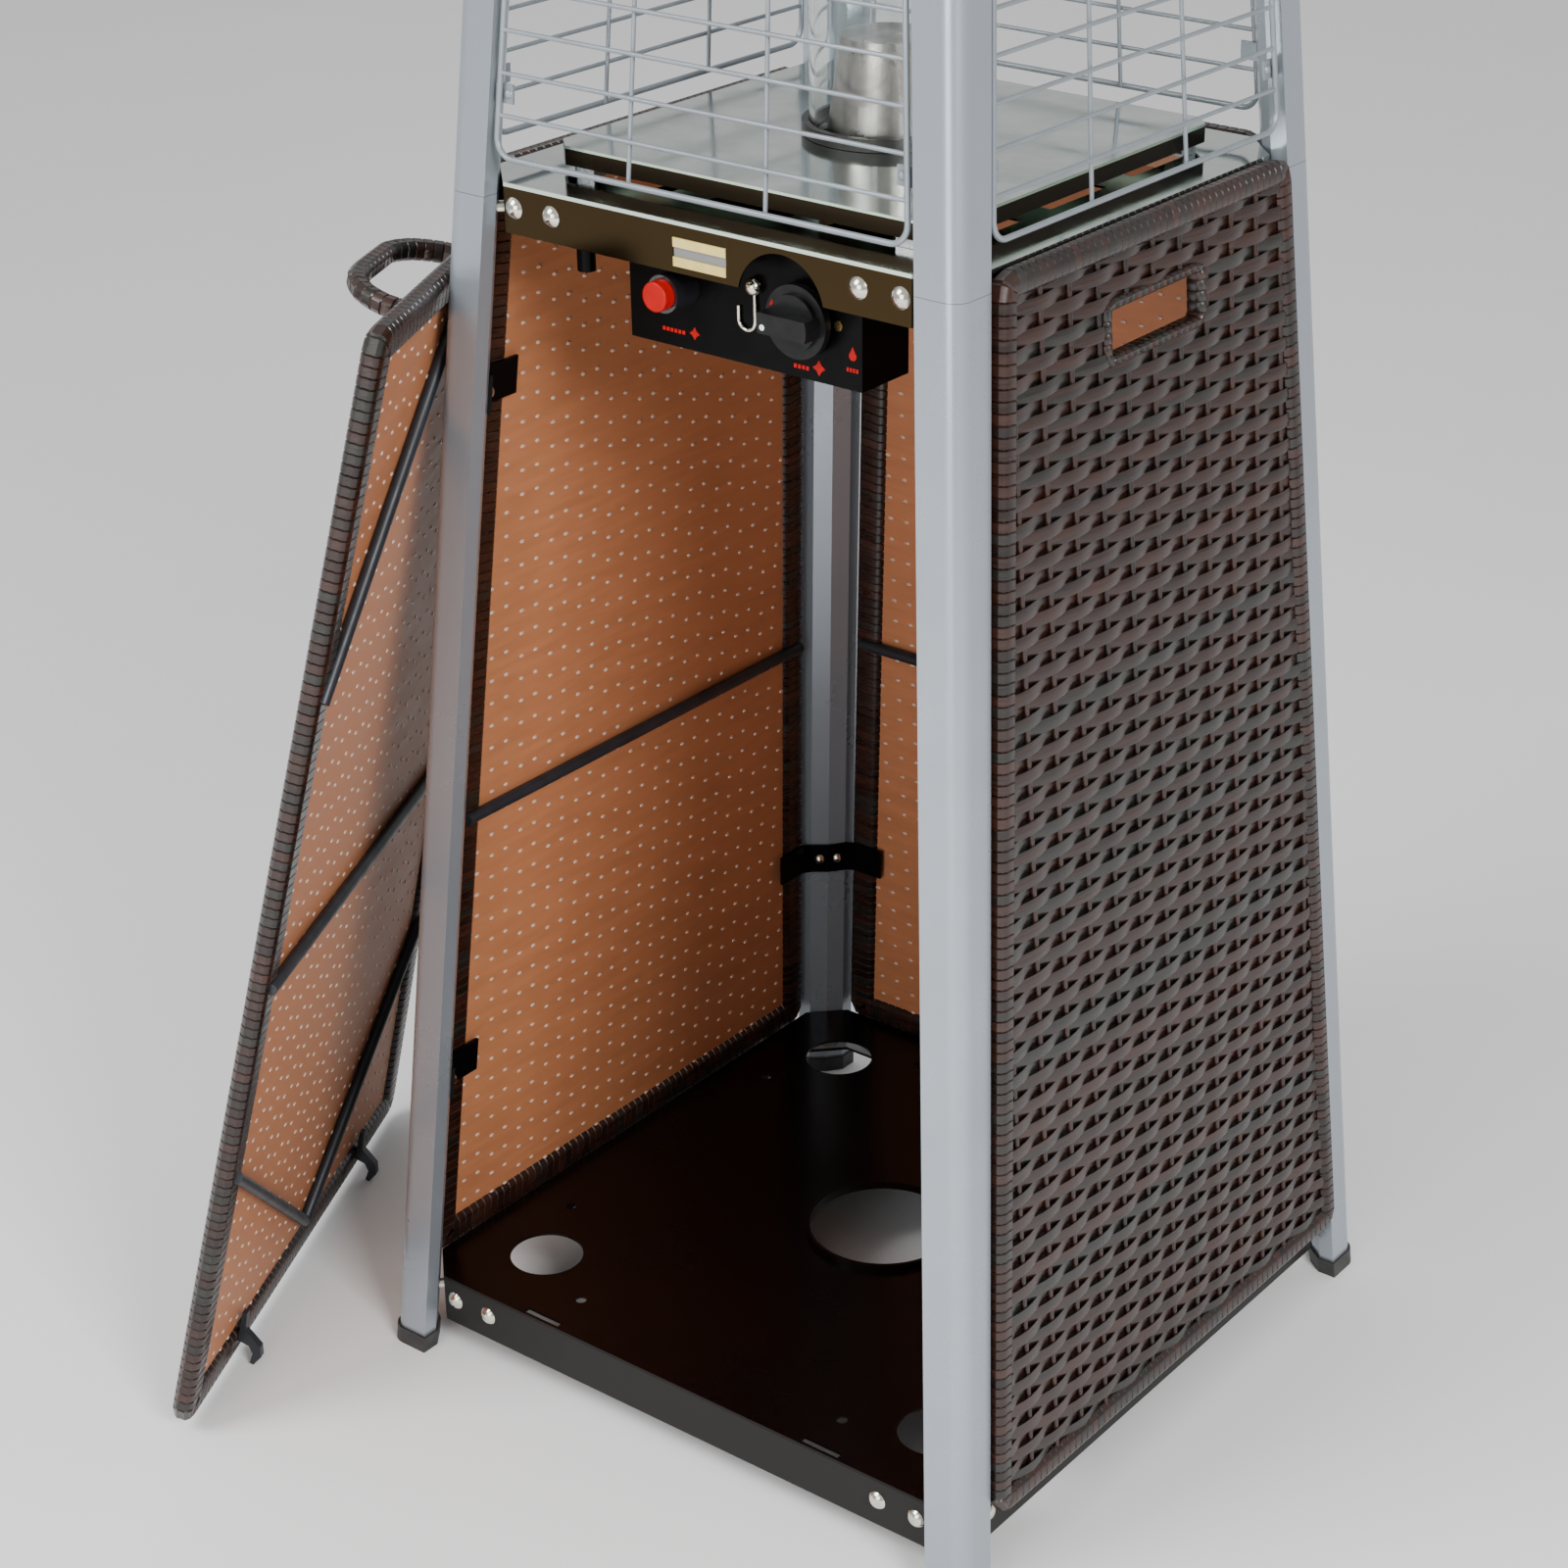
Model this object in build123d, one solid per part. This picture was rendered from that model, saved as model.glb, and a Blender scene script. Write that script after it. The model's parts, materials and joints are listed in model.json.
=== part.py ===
from build123d import *
import math
import os

# Tapered square patio heater with wicker panels.  Millimetres, +Z up, -Y is the front (door side).
# Origin: on the floor, midway between the four feet.

# ---------------------------------------------------------------- driving dimensions
BASE_HALF = 266.6          # centre line to a leg's outer face, at the floor
TAPER = 0.0766             # how much that distance shrinks per millimetre of height
LEAN = math.degrees(math.atan(TAPER))
SEAM_Z = 879.0             # lower and upper legs meet here
LEG_TOP_Z = 2188.0
CAP_HEIGHT = 13.0
CAP_FLOOR = 2.5

LEG_FACE = 32.0            # width of a leg's two outer faces
LEG_LIP = 12.0             # depth of the short side next to each outer face
LEG_RIDGE = 23.5           # the inner ridge, measured in from both outer faces
LEG_CORNER_R = 11.5
LEG_WALL = 1.5
SLEEVE_LENGTH = 120.0
RIDGE_SIDE = math.hypot(LEG_RIDGE - LEG_LIP, LEG_FACE - LEG_RIDGE)
RIDGE_NORMAL = ((LEG_RIDGE - LEG_LIP) / RIDGE_SIDE, (LEG_FACE - LEG_RIDGE) / RIDGE_SIDE)

SHEET = 1.5                # sheet steel of tray, deck and plates
GAP = 0.3                  # clearance between neighbours

TRAY_TOP = 64.0
TRAY_HALF = 250.0
TRAY_CUT = 25.5            # corner chamfer, so that the legs pass by
TRAY_FLANGE = 39.0
TRAY_SCREWS = (181.0, 214.0)
TRAY_SCREW_Z = 45.5
DECK_TOP = 888.0
DECK_HALF = 190.0
DECK_CUT = 31.0
DECK_FLANGE = 32.0
DECK_SCREWS = (120.0, 151.0)
DECK_SCREW_Z = 872.5
WING = 82.0                # corner bracket's reach from the outer corner
BRACKET_SHEET = 2.0
SCREW_R, SCREW_HOLE_R = 3.0, 3.2
BOLT_R, BOLT_HOLE_R = 4.0, 4.2

PANEL_HALF_THICK = 7.0
PANEL_INSET = 35.0         # leg's outer face to the panel's side edge
PANEL_BOTTOM, PANEL_TOP = 56.0, 888.0
PANEL_CORNER_R = 14.0
BORDER, INNER_BORDER = 16.0, 24.0   # rolled wicker border, outside and inside
OUTER_RECESS, INNER_RECESS = 2.0, 4.0
RING_INSET, RING_WIDTH, RING_THICK = 5.0, 9.0, 5.0    # steel ring inside the rolled border
ROD_R = 4.5
CROSSBAR_Z = 422.0
SLOT_HALF, SLOT_LOW, SLOT_HIGH, SLOT_CORNER_R = 51.0, 811.0, 840.0, 3.0
CLIP_HEIGHTS = (220.0, 742.0)
CLIP_ARM = 32.0            # how far a clip reaches across the border
CLIP_HEIGHT, CLIP_SHEET = 26.0, 2.4
CLIP_SCREW_R, CLIP_HOLE_R = 2.0, 2.2

DOOR_TURN = -64.8          # the leaning door's width direction, from +X
DOOR_LEAN = 13.2           # back from upright, towards the leg
DOOR_FOOT = (-399.4, -245.6)
HANDLE_HALF, HANDLE_REACH, HANDLE_ROD, HANDLE_UP, HANDLE_BEND = 60.0, 50.0, 6.5, 811.0, 42.0
HOOK_SPACING = 258.0
BRACE_TOP, BRACE_SIDE, V_FOOT, V_TOP = 796.0, 582.0, 36.0, 215.0

PLATE_TOP, PLATE_HALF, PLATE_CUT, PLATE_FLANGE = 906.0, 152.0, 12.0, 12.0
FOOT_SPOT = 125.0          # burner plate's feet, from the centre line
FLAME_HOLE_R = 46.0
GLASS_R, GLASS_WALL, GLASS_BOTTOM, GLASS_LENGTH = 50.0, 3.0, 908.5, 1250.0
RING_R, RING_HEIGHT = 55.0, 8.0

BOX_LOW, BOX_HIGH = (-78.0, -165.0, 798.5), (104.5, -118.0, 886.2)
BOX_WALL = 1.2
KNOB_X, KNOB_Z, KNOB_R, KNOB_BACK, KNOB_FACE = 62.0, 837.0, 23.0, -170.5, -190.0
STEM_R, STEM_FIT, STEM_BACK, STEM_FRONT = 4.0, 0.05, -150.0, -185.0
PIPE_X, PIPE_Z = 52.0, 840.0   # pipe from the valve to the burner
IDLE_X = 87.0              # idle screw beside the knob
SWITCH_SPOT = (-118.5, -160.0)   # tilt switch under the deck
IGNITER_X, IGNITER_Z, BEZEL_R, BEZEL_FRONT = -33.0, 839.0, 12.0, -187.0
BUTTON_R, BUTTON_BACK, BUTTON_FRONT = 9.6, -180.0, -195.5
CUTOUT_R, CUTOUT_Z = 33.0, 849.0
HOOK_X, HOOK_Z, HOOK_Y = 23.7, 850.0, -166.6
HOOK_WIRE, HOOK_DROP, HOOK_BEND = 1.2, 19.0, 6.5
EYE_R = 3.6
CATCH_Z, CATCH_HALF, CATCH_LAYER = 869.0, 20.5, 6.0

GUARD_BOTTOM, GUARD_TOP, GUARD_PITCH = 905.0, 2146.0, 26.0
GUARD_DEPTH, GUARD_SIDE, GUARD_CORNER_R = 3.0, 38.0, 12.0
FRAME_ROD_R, WIRE_R, WIRE_SET_BACK = 1.9, 1.4, 2.4
GUARD_CLIP_HEIGHTS = (944.0, 1518.0, 2130.0)

TOP_PLATE_Z, TOP_PLATE_HALF, TOP_PLATE_FLANGE = 2178.0, 90.0, 26.0
REFLECTOR_Z, REFLECTOR_HALF, REFLECTOR_CUT, REFLECTOR_DEPTH = 2278.0, 240.0, 24.0, 32.0
POST_SPOT, POST_R = 52.0, 4.0
CORNER_BOLT_HEIGHTS = (TRAY_SCREW_Z, DECK_SCREW_Z - 6, TOP_PLATE_Z - 13)   # tray, deck, top plate

QUARTERS = {"front_left": (-1, -1), "front_right": (1, -1), "back_right": (1, 1), "back_left": (-1, 1)}
SIDES = {"front": 0, "right": 90, "back": 180, "left": 270}   # turn about Z from the front
CORNER_STRETCH = 2 - math.sqrt(2)     # how much a chamfer shrinks when its square is offset


# ---------------------------------------------------------------- helpers
def leg_face(z):
    """Distance from the centre line to the legs' outer faces at a height."""
    return BASE_HALF - TAPER * z


def save(name, *items):
    """Write one node: a single solid, or a group of separate solids."""
    bodies = [solid for item in items for solid in item.solids()]
    shape = bodies[0] if len(bodies) == 1 else Compound(children=bodies)
    shape.label = name
    export_step(shape, f"parts/{name}.step")


def to_side(shape, side):
    """Turn a shape made at the front (-Y) round to one of the four sides."""
    return shape.rotate(Axis.Z, SIDES[side])


def to_quarter(shape, quarter):
    """Mirror a shape made at the back right corner to another corner."""
    sx, sy = QUARTERS[quarter]
    if sx < 0:
        shape = shape.mirror(Plane.YZ)
    if sy < 0:
        shape = shape.mirror(Plane.XZ)
    return shape


def bar(radius, start, end):
    """A round bar between two points."""
    axis = Vector(*end) - Vector(*start)
    return extrude(Plane(origin=start, z_dir=axis) * Circle(radius), axis.length)


def block(low, high):
    """A box between two corners."""
    size = [h - l for l, h in zip(low, high)]
    centre = [(h + l) / 2 for l, h in zip(low, high)]
    return Pos(*centre) * Box(*size)


def shifted(place, direction, distance):
    """A place moved along a direction."""
    return tuple(p + distance * d for p, d in zip(place, direction))


def dome_screw(place, direction, head_r=7.0, head_h=3.6, shank_r=SCREW_R, shank=12.0):
    """A dome-headed screw; its head's flat underside is centred on the place."""
    ball_r = (head_r ** 2 + head_h ** 2) / (2 * head_h)
    head = Pos(0, 0, head_h - ball_r) * Sphere(ball_r)
    head &= Pos(0, 0, head_h / 2) * Cylinder(head_r + 1, head_h)
    screw = head + Pos(0, 0, -shank / 2 + 0.5) * Cylinder(shank_r, shank + 1)
    return Plane(origin=place, z_dir=direction).location * screw


def four(spot_x, spot_y):
    """The four mirror images of a place in the ground plane."""
    return [(sx * spot_x, sy * spot_y) for sx in (-1, 1) for sy in (-1, 1)]


# ---------------------------------------------------------------- legs
def leg_section(z, grow=0.0):
    """The leg's outline at a height, in the back right corner, grown or shrunk all round."""
    corner = leg_face(z)
    points = [
        (0, 0), (LEG_FACE, 0), (LEG_FACE, LEG_LIP), (LEG_RIDGE, LEG_RIDGE),
        (LEG_LIP, LEG_FACE), (0, LEG_FACE),
    ]
    outline = make_face(Polyline(*[(corner - a, corner - b) for a, b in points], close=True))
    outer = outline.vertices().sort_by(lambda v: v.X + v.Y)[-1]
    outline = fillet(outer, LEG_CORNER_R)
    if grow:
        outline = offset(outline, amount=grow, kind=Kind.INTERSECTION)
    return Pos(0, 0, z) * outline


def slanted(section, height):
    """Extrude a section up the legs' slant by a height."""
    length = height * math.sqrt(1 + 2 * TAPER ** 2)
    return extrude(section, length, dir=(-TAPER, -TAPER, 1))


def corner_bolt_hole(z, radius):
    """A round bar from the inside of a pan's corner into the leg's ridge."""
    near, far = leg_face(z) - 34, leg_face(z) - 16
    return bar(radius, (near, near, z), (far, far, z))


def clip_screw_places(z):
    """Places and inward directions of the clip screws, either side of a leg's ridge."""
    corner = leg_face(z)
    mid_a, mid_b = (LEG_FACE + LEG_RIDGE) / 2, (LEG_LIP + LEG_RIDGE) / 2
    out_a, out_b = RIDGE_NORMAL
    lift = 3 * GAP + CLIP_SHEET
    places = []
    for swap in (False, True):
        a, b, u, v = mid_a + lift * out_a, mid_b + lift * out_b, out_a, out_b
        if swap:
            a, b, u, v = b, a, v, u
        places.append(((corner - a, corner - b, z), (-u, -v, 0)))
    return places


def leg_tube(low, high):
    outer = slanted(leg_section(low), high - low)
    return outer - slanted(leg_section(low, -LEG_WALL), high - low)


def make_legs():
    lower = leg_tube(CAP_FLOOR + GAP, SEAM_Z - GAP)
    upper = leg_tube(SEAM_Z, LEG_TOP_Z)
    tray_bolt, deck_bolt, head_bolt = CORNER_BOLT_HEIGHTS
    lower -= corner_bolt_hole(tray_bolt, BOLT_HOLE_R)
    for z in CLIP_HEIGHTS:
        for place, direction in clip_screw_places(z):
            lower -= bar(CLIP_HOLE_R, place, shifted(place, direction, -12))
    lower -= corner_bolt_hole(deck_bolt, BOLT_HOLE_R)
    upper -= corner_bolt_hole(head_bolt, BOLT_HOLE_R)
    sleeve_low = SEAM_Z - SLEEVE_LENGTH / 2
    sleeve = slanted(leg_section(sleeve_low, -LEG_WALL - GAP), SLEEVE_LENGTH)
    sleeve -= slanted(leg_section(sleeve_low, -2 * LEG_WALL - GAP), SLEEVE_LENGTH)
    sleeve -= corner_bolt_hole(deck_bolt, BOLT_HOLE_R)
    cap = slanted(leg_section(0, 2.0), CAP_HEIGHT)
    cap -= slanted(leg_section(CAP_FLOOR, GAP), CAP_HEIGHT)
    for quarter in QUARTERS:
        save(f"lower_leg_{quarter}", to_quarter(lower, quarter))
        save(f"upper_leg_{quarter}", to_quarter(upper, quarter))
    save("leg_sleeves", *[to_quarter(sleeve, quarter) for quarter in QUARTERS])
    save("foot_caps", *[to_quarter(cap, quarter) for quarter in QUARTERS])


# ---------------------------------------------------------------- tray and deck
def octagon(half, cut):
    """A square with its corners chamfered."""
    return chamfer(Rectangle(2 * half, 2 * half).vertices(), cut)


def pan(half, cut, top, flange):
    """A sheet with a flange folded down all round."""
    inner_cut = cut - CORNER_STRETCH * SHEET
    solid = Pos(0, 0, top) * extrude(octagon(half, cut), -flange)
    hollow = Pos(0, 0, top - SHEET) * extrude(octagon(half - SHEET, inner_cut), -flange)
    return solid - hollow


def flange_places(half, spots, z):
    """Places and outward directions of the screws on a pan's four flanges."""
    places = []
    for side in SIDES:
        turn = Rot(0, 0, SIDES[side])
        for spot in spots:
            for sign in (-1, 1):
                place = turn * Pos(sign * spot, -half, z)
                out = turn * Pos(0, -1, 0)
                places.append((side, place.position, out.position))
    return places


def drill(shape, places, radius, depth=8):
    for _, place, out in places:
        shape -= bar(radius, place + out, place - out * depth)
    return shape


def corner_bolts(z):
    """Four bolts that hold a pan's corners to the legs' ridges."""
    start = leg_face(z) - 35
    head = bar(7.0, (start - 4, start - 4, z), (start, start, z))
    bolt = head + bar(BOLT_R, (start - 1, start - 1, z), (start + 16, start + 16, z))
    return [to_quarter(bolt, quarter) for quarter in QUARTERS]


def corner_bracket(half, cut, top, flange, places, bolt_z):
    """A strip bent round a pan's inside corner, with a wing along each flange."""
    reach = half - SHEET - GAP
    reach_cut = cut - CORNER_STRETCH * (SHEET + GAP)
    inner = reach - BRACKET_SHEET
    inner_cut = reach_cut - CORNER_STRETCH * BRACKET_SHEET
    middle = half - WING / 2
    ring = octagon(reach, reach_cut) - octagon(inner, inner_cut)
    ring &= Pos(middle, middle) * Rectangle(WING, WING)
    strip = Pos(0, 0, top - SHEET - GAP) * extrude(ring, -(flange - 6))
    strip = drill(strip, places, SCREW_HOLE_R)
    return strip - corner_bolt_hole(bolt_z, BOLT_HOLE_R)


def make_tray():
    tray = pan(TRAY_HALF, TRAY_CUT, TRAY_TOP, TRAY_FLANGE)
    tray += Pos(0, 0, TRAY_TOP + 2) * Cylinder(59, 6)
    tray -= Pos(0, 0, TRAY_TOP) * Cylinder(56.5, 20)
    for x, y in four(182, 182):
        tray -= Pos(x, y, TRAY_TOP) * Cylinder(27.5, 20)
    for x, y in four(211.5, 121.5) + four(121.5, 211.5):
        tray -= Pos(x, y, TRAY_TOP) * Cylinder(4, 20)
    for sign in (-1, 1):
        tray -= Pos(sign * HOOK_SPACING / 2, 5 - TRAY_HALF, TRAY_TOP) * Box(32, 5, 10)
    places = flange_places(TRAY_HALF, TRAY_SCREWS, TRAY_SCREW_Z)
    tray = drill(tray, places, SCREW_HOLE_R)
    bracket = corner_bracket(TRAY_HALF, TRAY_CUT, TRAY_TOP, TRAY_FLANGE, places, TRAY_SCREW_Z)
    for quarter in QUARTERS:
        tray -= to_quarter(corner_bolt_hole(TRAY_SCREW_Z, BOLT_HOLE_R), quarter)
    save("base_tray", tray)
    save("tray_corner_brackets", *[to_quarter(bracket, quarter) for quarter in QUARTERS])
    return [dome_screw(place, out) for _, place, out in places]


def make_deck():
    deck = pan(DECK_HALF, DECK_CUT, DECK_TOP, DECK_FLANGE)
    deck -= Pos(0, 0, DECK_TOP) * Cylinder(60, 10)
    for side in SIDES:
        for shift in (-92, 0, 92):
            deck -= to_side(Pos(shift, -136, DECK_TOP) * Box(62, 24, 10), side)
    deck -= Pos(KNOB_X, -DECK_HALF, CUTOUT_Z) * Rot(90, 0, 0) * Cylinder(CUTOUT_R, 10)
    catch_half_z = 1.5 * CATCH_LAYER + GAP
    deck -= Pos(0, -DECK_HALF, CATCH_Z) * Box(2 * (CATCH_HALF + GAP), 10, 2 * catch_half_z)
    deck += block((-CATCH_HALF, -177.7, CATCH_Z - 9), (CATCH_HALF, -176.2, DECK_TOP - 1))
    places = flange_places(DECK_HALF, DECK_SCREWS, DECK_SCREW_Z)
    deck = drill(deck, places, SCREW_HOLE_R)
    bolt_z = CORNER_BOLT_HEIGHTS[1]
    bracket = corner_bracket(DECK_HALF, DECK_CUT, DECK_TOP, DECK_FLANGE, places, bolt_z)
    for quarter in QUARTERS:
        deck -= to_quarter(corner_bolt_hole(bolt_z, BOLT_HOLE_R), quarter)
    screws = []
    for side, place, out in places:
        if side == "front":
            screws.append(dome_screw(place, out))
        else:
            screws.append(dome_screw(place, out, head_r=5.5, head_h=1.4))
    save("deck", deck)
    save("deck_corner_brackets", *[to_quarter(bracket, quarter) for quarter in QUARTERS])
    return screws


# ---------------------------------------------------------------- wicker panels and door
PANEL_RISE = (PANEL_TOP - PANEL_BOTTOM) / math.cos(math.radians(LEAN))
PANEL_FOOT_HALF = leg_face(PANEL_BOTTOM) - PANEL_INSET
PANEL_HEAD_HALF = leg_face(PANEL_TOP) - PANEL_INSET


def up_panel(z):
    """Height along a fixed panel's own face for a height above the floor."""
    return (z - PANEL_BOTTOM) / math.cos(math.radians(LEAN))


def panel_half(up):
    """Half of the panel's width at a height along its face."""
    return PANEL_FOOT_HALF + (PANEL_HEAD_HALF - PANEL_FOOT_HALF) * up / PANEL_RISE


def panel_outline(inset=0.0):
    """The panel's outline, drawn upright in the XZ plane with its foot on Z = 0."""
    low, high = (PANEL_FOOT_HALF, 0), (PANEL_HEAD_HALF, PANEL_RISE)
    corners = [(-low[0], low[1]), low, high, (-high[0], high[1])]
    outline = make_face(Polyline(*corners, close=True))
    outline = fillet(outline.vertices(), PANEL_CORNER_R)
    if inset:
        outline = offset(outline, amount=-inset, kind=Kind.INTERSECTION)
    return outline


def slab(outline, front, back):
    """An upright slab of an XZ outline, from one depth to another (+Y is indoors)."""
    return Plane(origin=(0, back, 0), x_dir=(1, 0, 0), z_dir=(0, -1, 0)) * extrude(outline, back - front)


def crossbars(braces, grow=0.0):
    """Round bars across a panel's inner face, given by the places of their two ends."""
    depth = PANEL_HALF_THICK - INNER_RECESS + GAP + ROD_R
    return [bar(ROD_R + grow, (x, depth, z), (far_x, depth, far_z)) for (x, z), (far_x, far_z) in braces]


def level_brace():
    """The bar across the middle; its ends reach the steel ring inside the border."""
    up = up_panel(CROSSBAR_Z)
    half = panel_half(up) - RING_INSET - 3
    return [((-half, up), (half, up))]


def wicker_panel(braces):
    """A flat basket-work board with a rolled border, which holds the steel ring."""
    body = slab(panel_outline(), -PANEL_HALF_THICK, PANEL_HALF_THICK)
    body -= slab(panel_outline(BORDER), -PANEL_HALF_THICK - 1, OUTER_RECESS - PANEL_HALF_THICK)
    body -= slab(panel_outline(INNER_BORDER), PANEL_HALF_THICK - INNER_RECESS, PANEL_HALF_THICK + 1)
    groove = panel_outline(RING_INSET - GAP) - panel_outline(RING_INSET + RING_WIDTH + GAP)
    body -= slab(groove, -GAP, RING_THICK + GAP)
    for rod in crossbars(braces, GAP):
        body -= rod
    return body


def steel_frame(braces):
    """A flat steel ring inside the wicker's border, with round bars welded across it."""
    ring = panel_outline(RING_INSET) - panel_outline(RING_INSET + RING_WIDTH)
    frame = slab(ring, 0, RING_THICK)
    for rod in crossbars(braces):
        frame += rod
    return frame


def mount_panel(shape):
    """Tilt an upright panel piece into the front side's plane."""
    return Pos(0, -leg_face(PANEL_BOTTOM), PANEL_BOTTOM) * Rot(-LEAN, 0, 0) * shape


def make_panels():
    wicker, frame = wicker_panel(level_brace()), steel_frame(level_brace())
    slot = Rectangle(2 * SLOT_HALF, SLOT_HIGH - SLOT_LOW)
    slot = Pos(0, up_panel((SLOT_LOW + SLOT_HIGH) / 2)) * fillet(slot.vertices(), SLOT_CORNER_R)
    slotted = wicker - slab(slot, -20, 20)
    for side, skin in (("right", slotted), ("back", wicker), ("left", wicker)):
        save(f"{side}_panel_wicker", to_side(mount_panel(skin), side))
        save(f"{side}_panel_frame", to_side(mount_panel(frame), side))


def make_clips():
    """Bent straps that hold the fixed panels' frames to the legs."""
    lift = GAP + CLIP_SHEET / 2
    arm = PANEL_HALF_THICK + lift
    tip = PANEL_INSET + CLIP_ARM
    out_a, out_b = RIDGE_NORMAL
    ridge = LEG_RIDGE + lift / (out_a + out_b)
    back_arm = [(tip, arm), (39, arm), (LEG_FACE + lift * out_a, LEG_LIP + lift * out_b), (ridge, ridge)]
    side_arm = [(b, a) for a, b in back_arm]
    straps, screws = [], []
    for quarter in QUARTERS:
        at_back = quarter.startswith("back")
        points = side_arm + back_arm[-2::-1] if at_back else side_arm
        faces = (0, 1) if at_back else (1,)
        for z in CLIP_HEIGHTS:
            low = z - CLIP_HEIGHT / 2
            corner = leg_face(low)
            line = Polyline(*[(corner - a, corner - b) for a, b in points])
            strap = slanted(Pos(0, 0, low) * trace(line, CLIP_SHEET), CLIP_HEIGHT)
            for face in faces:
                place, direction = clip_screw_places(z)[face]
                strap -= bar(CLIP_HOLE_R, shifted(place, direction, 1), shifted(place, direction, -12))
                screw = dome_screw(place, direction, 4.2, 2.4, CLIP_SCREW_R, 8)
                screws.append(to_quarter(screw, quarter))
            straps.append(to_quarter(strap, quarter))
    save("panel_clips", *straps)
    save("clip_screws", *screws)


def door_hook():
    """A flat claw on the border's inner face that reaches inwards and down past the door's foot."""
    face = PANEL_HALF_THICK + GAP
    points = [(face, 40), (11, 40), (12, 24), (17, 20), (25, 13), (27, 4), (22, -5),
              (19, -4), (20, 5), (16, 11), (face, 13)]
    claw = make_face(Polyline(*points, close=True))
    return Plane(origin=(-3, 0, 0), x_dir=(0, 1, 0), z_dir=(1, 0, 0)) * extrude(claw, 6)


def door_braces():
    """The level bar, two bars from the top middle to the sides, and a V at the foot."""
    braces = level_brace()
    for sign in (-1, 1):
        for middle, start, end in ((12, BRACE_TOP, BRACE_SIDE), (0, V_FOOT, V_TOP)):
            side = panel_half(end) - RING_INSET - 3
            braces.append(((sign * middle, start), (sign * side, end)))
    return braces


def door_pieces():
    """The door's pieces, upright, with the door's foot on Z = 0 and +Y indoors."""
    proud = PANEL_HALF_THICK + GAP
    front = proud + 2.6
    braces = door_braces()
    frame = steel_frame(braces)
    frame += block((-20, proud - 1.4, BRACE_TOP - 4), (20, front, BRACE_TOP + 14))
    frame += block((-20, proud, BRACE_TOP + 13), (20, front, BRACE_TOP + 36))
    frame -= bar(CLIP_HOLE_R, (0, 0, BRACE_TOP + 26), (0, 20, BRACE_TOP + 26))
    screw = dome_screw((0, front, BRACE_TOP + 26), (0, 1, 0), 4.2, 2.4, CLIP_SCREW_R, 2)
    hooks = [Pos(sign * HOOK_SPACING / 2, 0, 0) * door_hook() for sign in (-1, 1)]
    root = OUTER_RECESS - PANEL_HALF_THICK - 0.1
    reach = -PANEL_HALF_THICK - HANDLE_REACH
    loop = FilletPolyline(
        (-HANDLE_HALF, root, HANDLE_UP), (-HANDLE_HALF, reach, HANDLE_UP),
        (HANDLE_HALF, reach, HANDLE_UP), (HANDLE_HALF, root, HANDLE_UP), radius=HANDLE_BEND,
    )
    handle = sweep(Plane(origin=loop @ 0, z_dir=loop % 0) * Circle(HANDLE_ROD), path=loop)
    return {"door_wicker": [wicker_panel(braces)], "door_frame": [frame], "door_hooks": hooks,
            "door_handle": [handle], "door_strike_screw": [screw]}


def make_door():
    """The door stands on its hooks beside the front left leg, leaning on it."""
    turn = math.radians(DOOR_TURN)
    lean = math.radians(DOOR_LEAN)
    across = (math.cos(turn), math.sin(turn), 0)
    up = (-math.sin(turn) * math.sin(lean), math.cos(turn) * math.sin(lean), math.cos(lean))
    pieces = door_pieces()
    tilted = Plane(origin=(0, 0, 0), x_dir=across, z_dir=up).location
    low = (tilted * pieces["door_hooks"][0]).bounding_box().min.Z
    place = Pos(*DOOR_FOOT, -low) * tilted
    for name, solids in pieces.items():
        save(name, *[place * solid for solid in solids])


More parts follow.
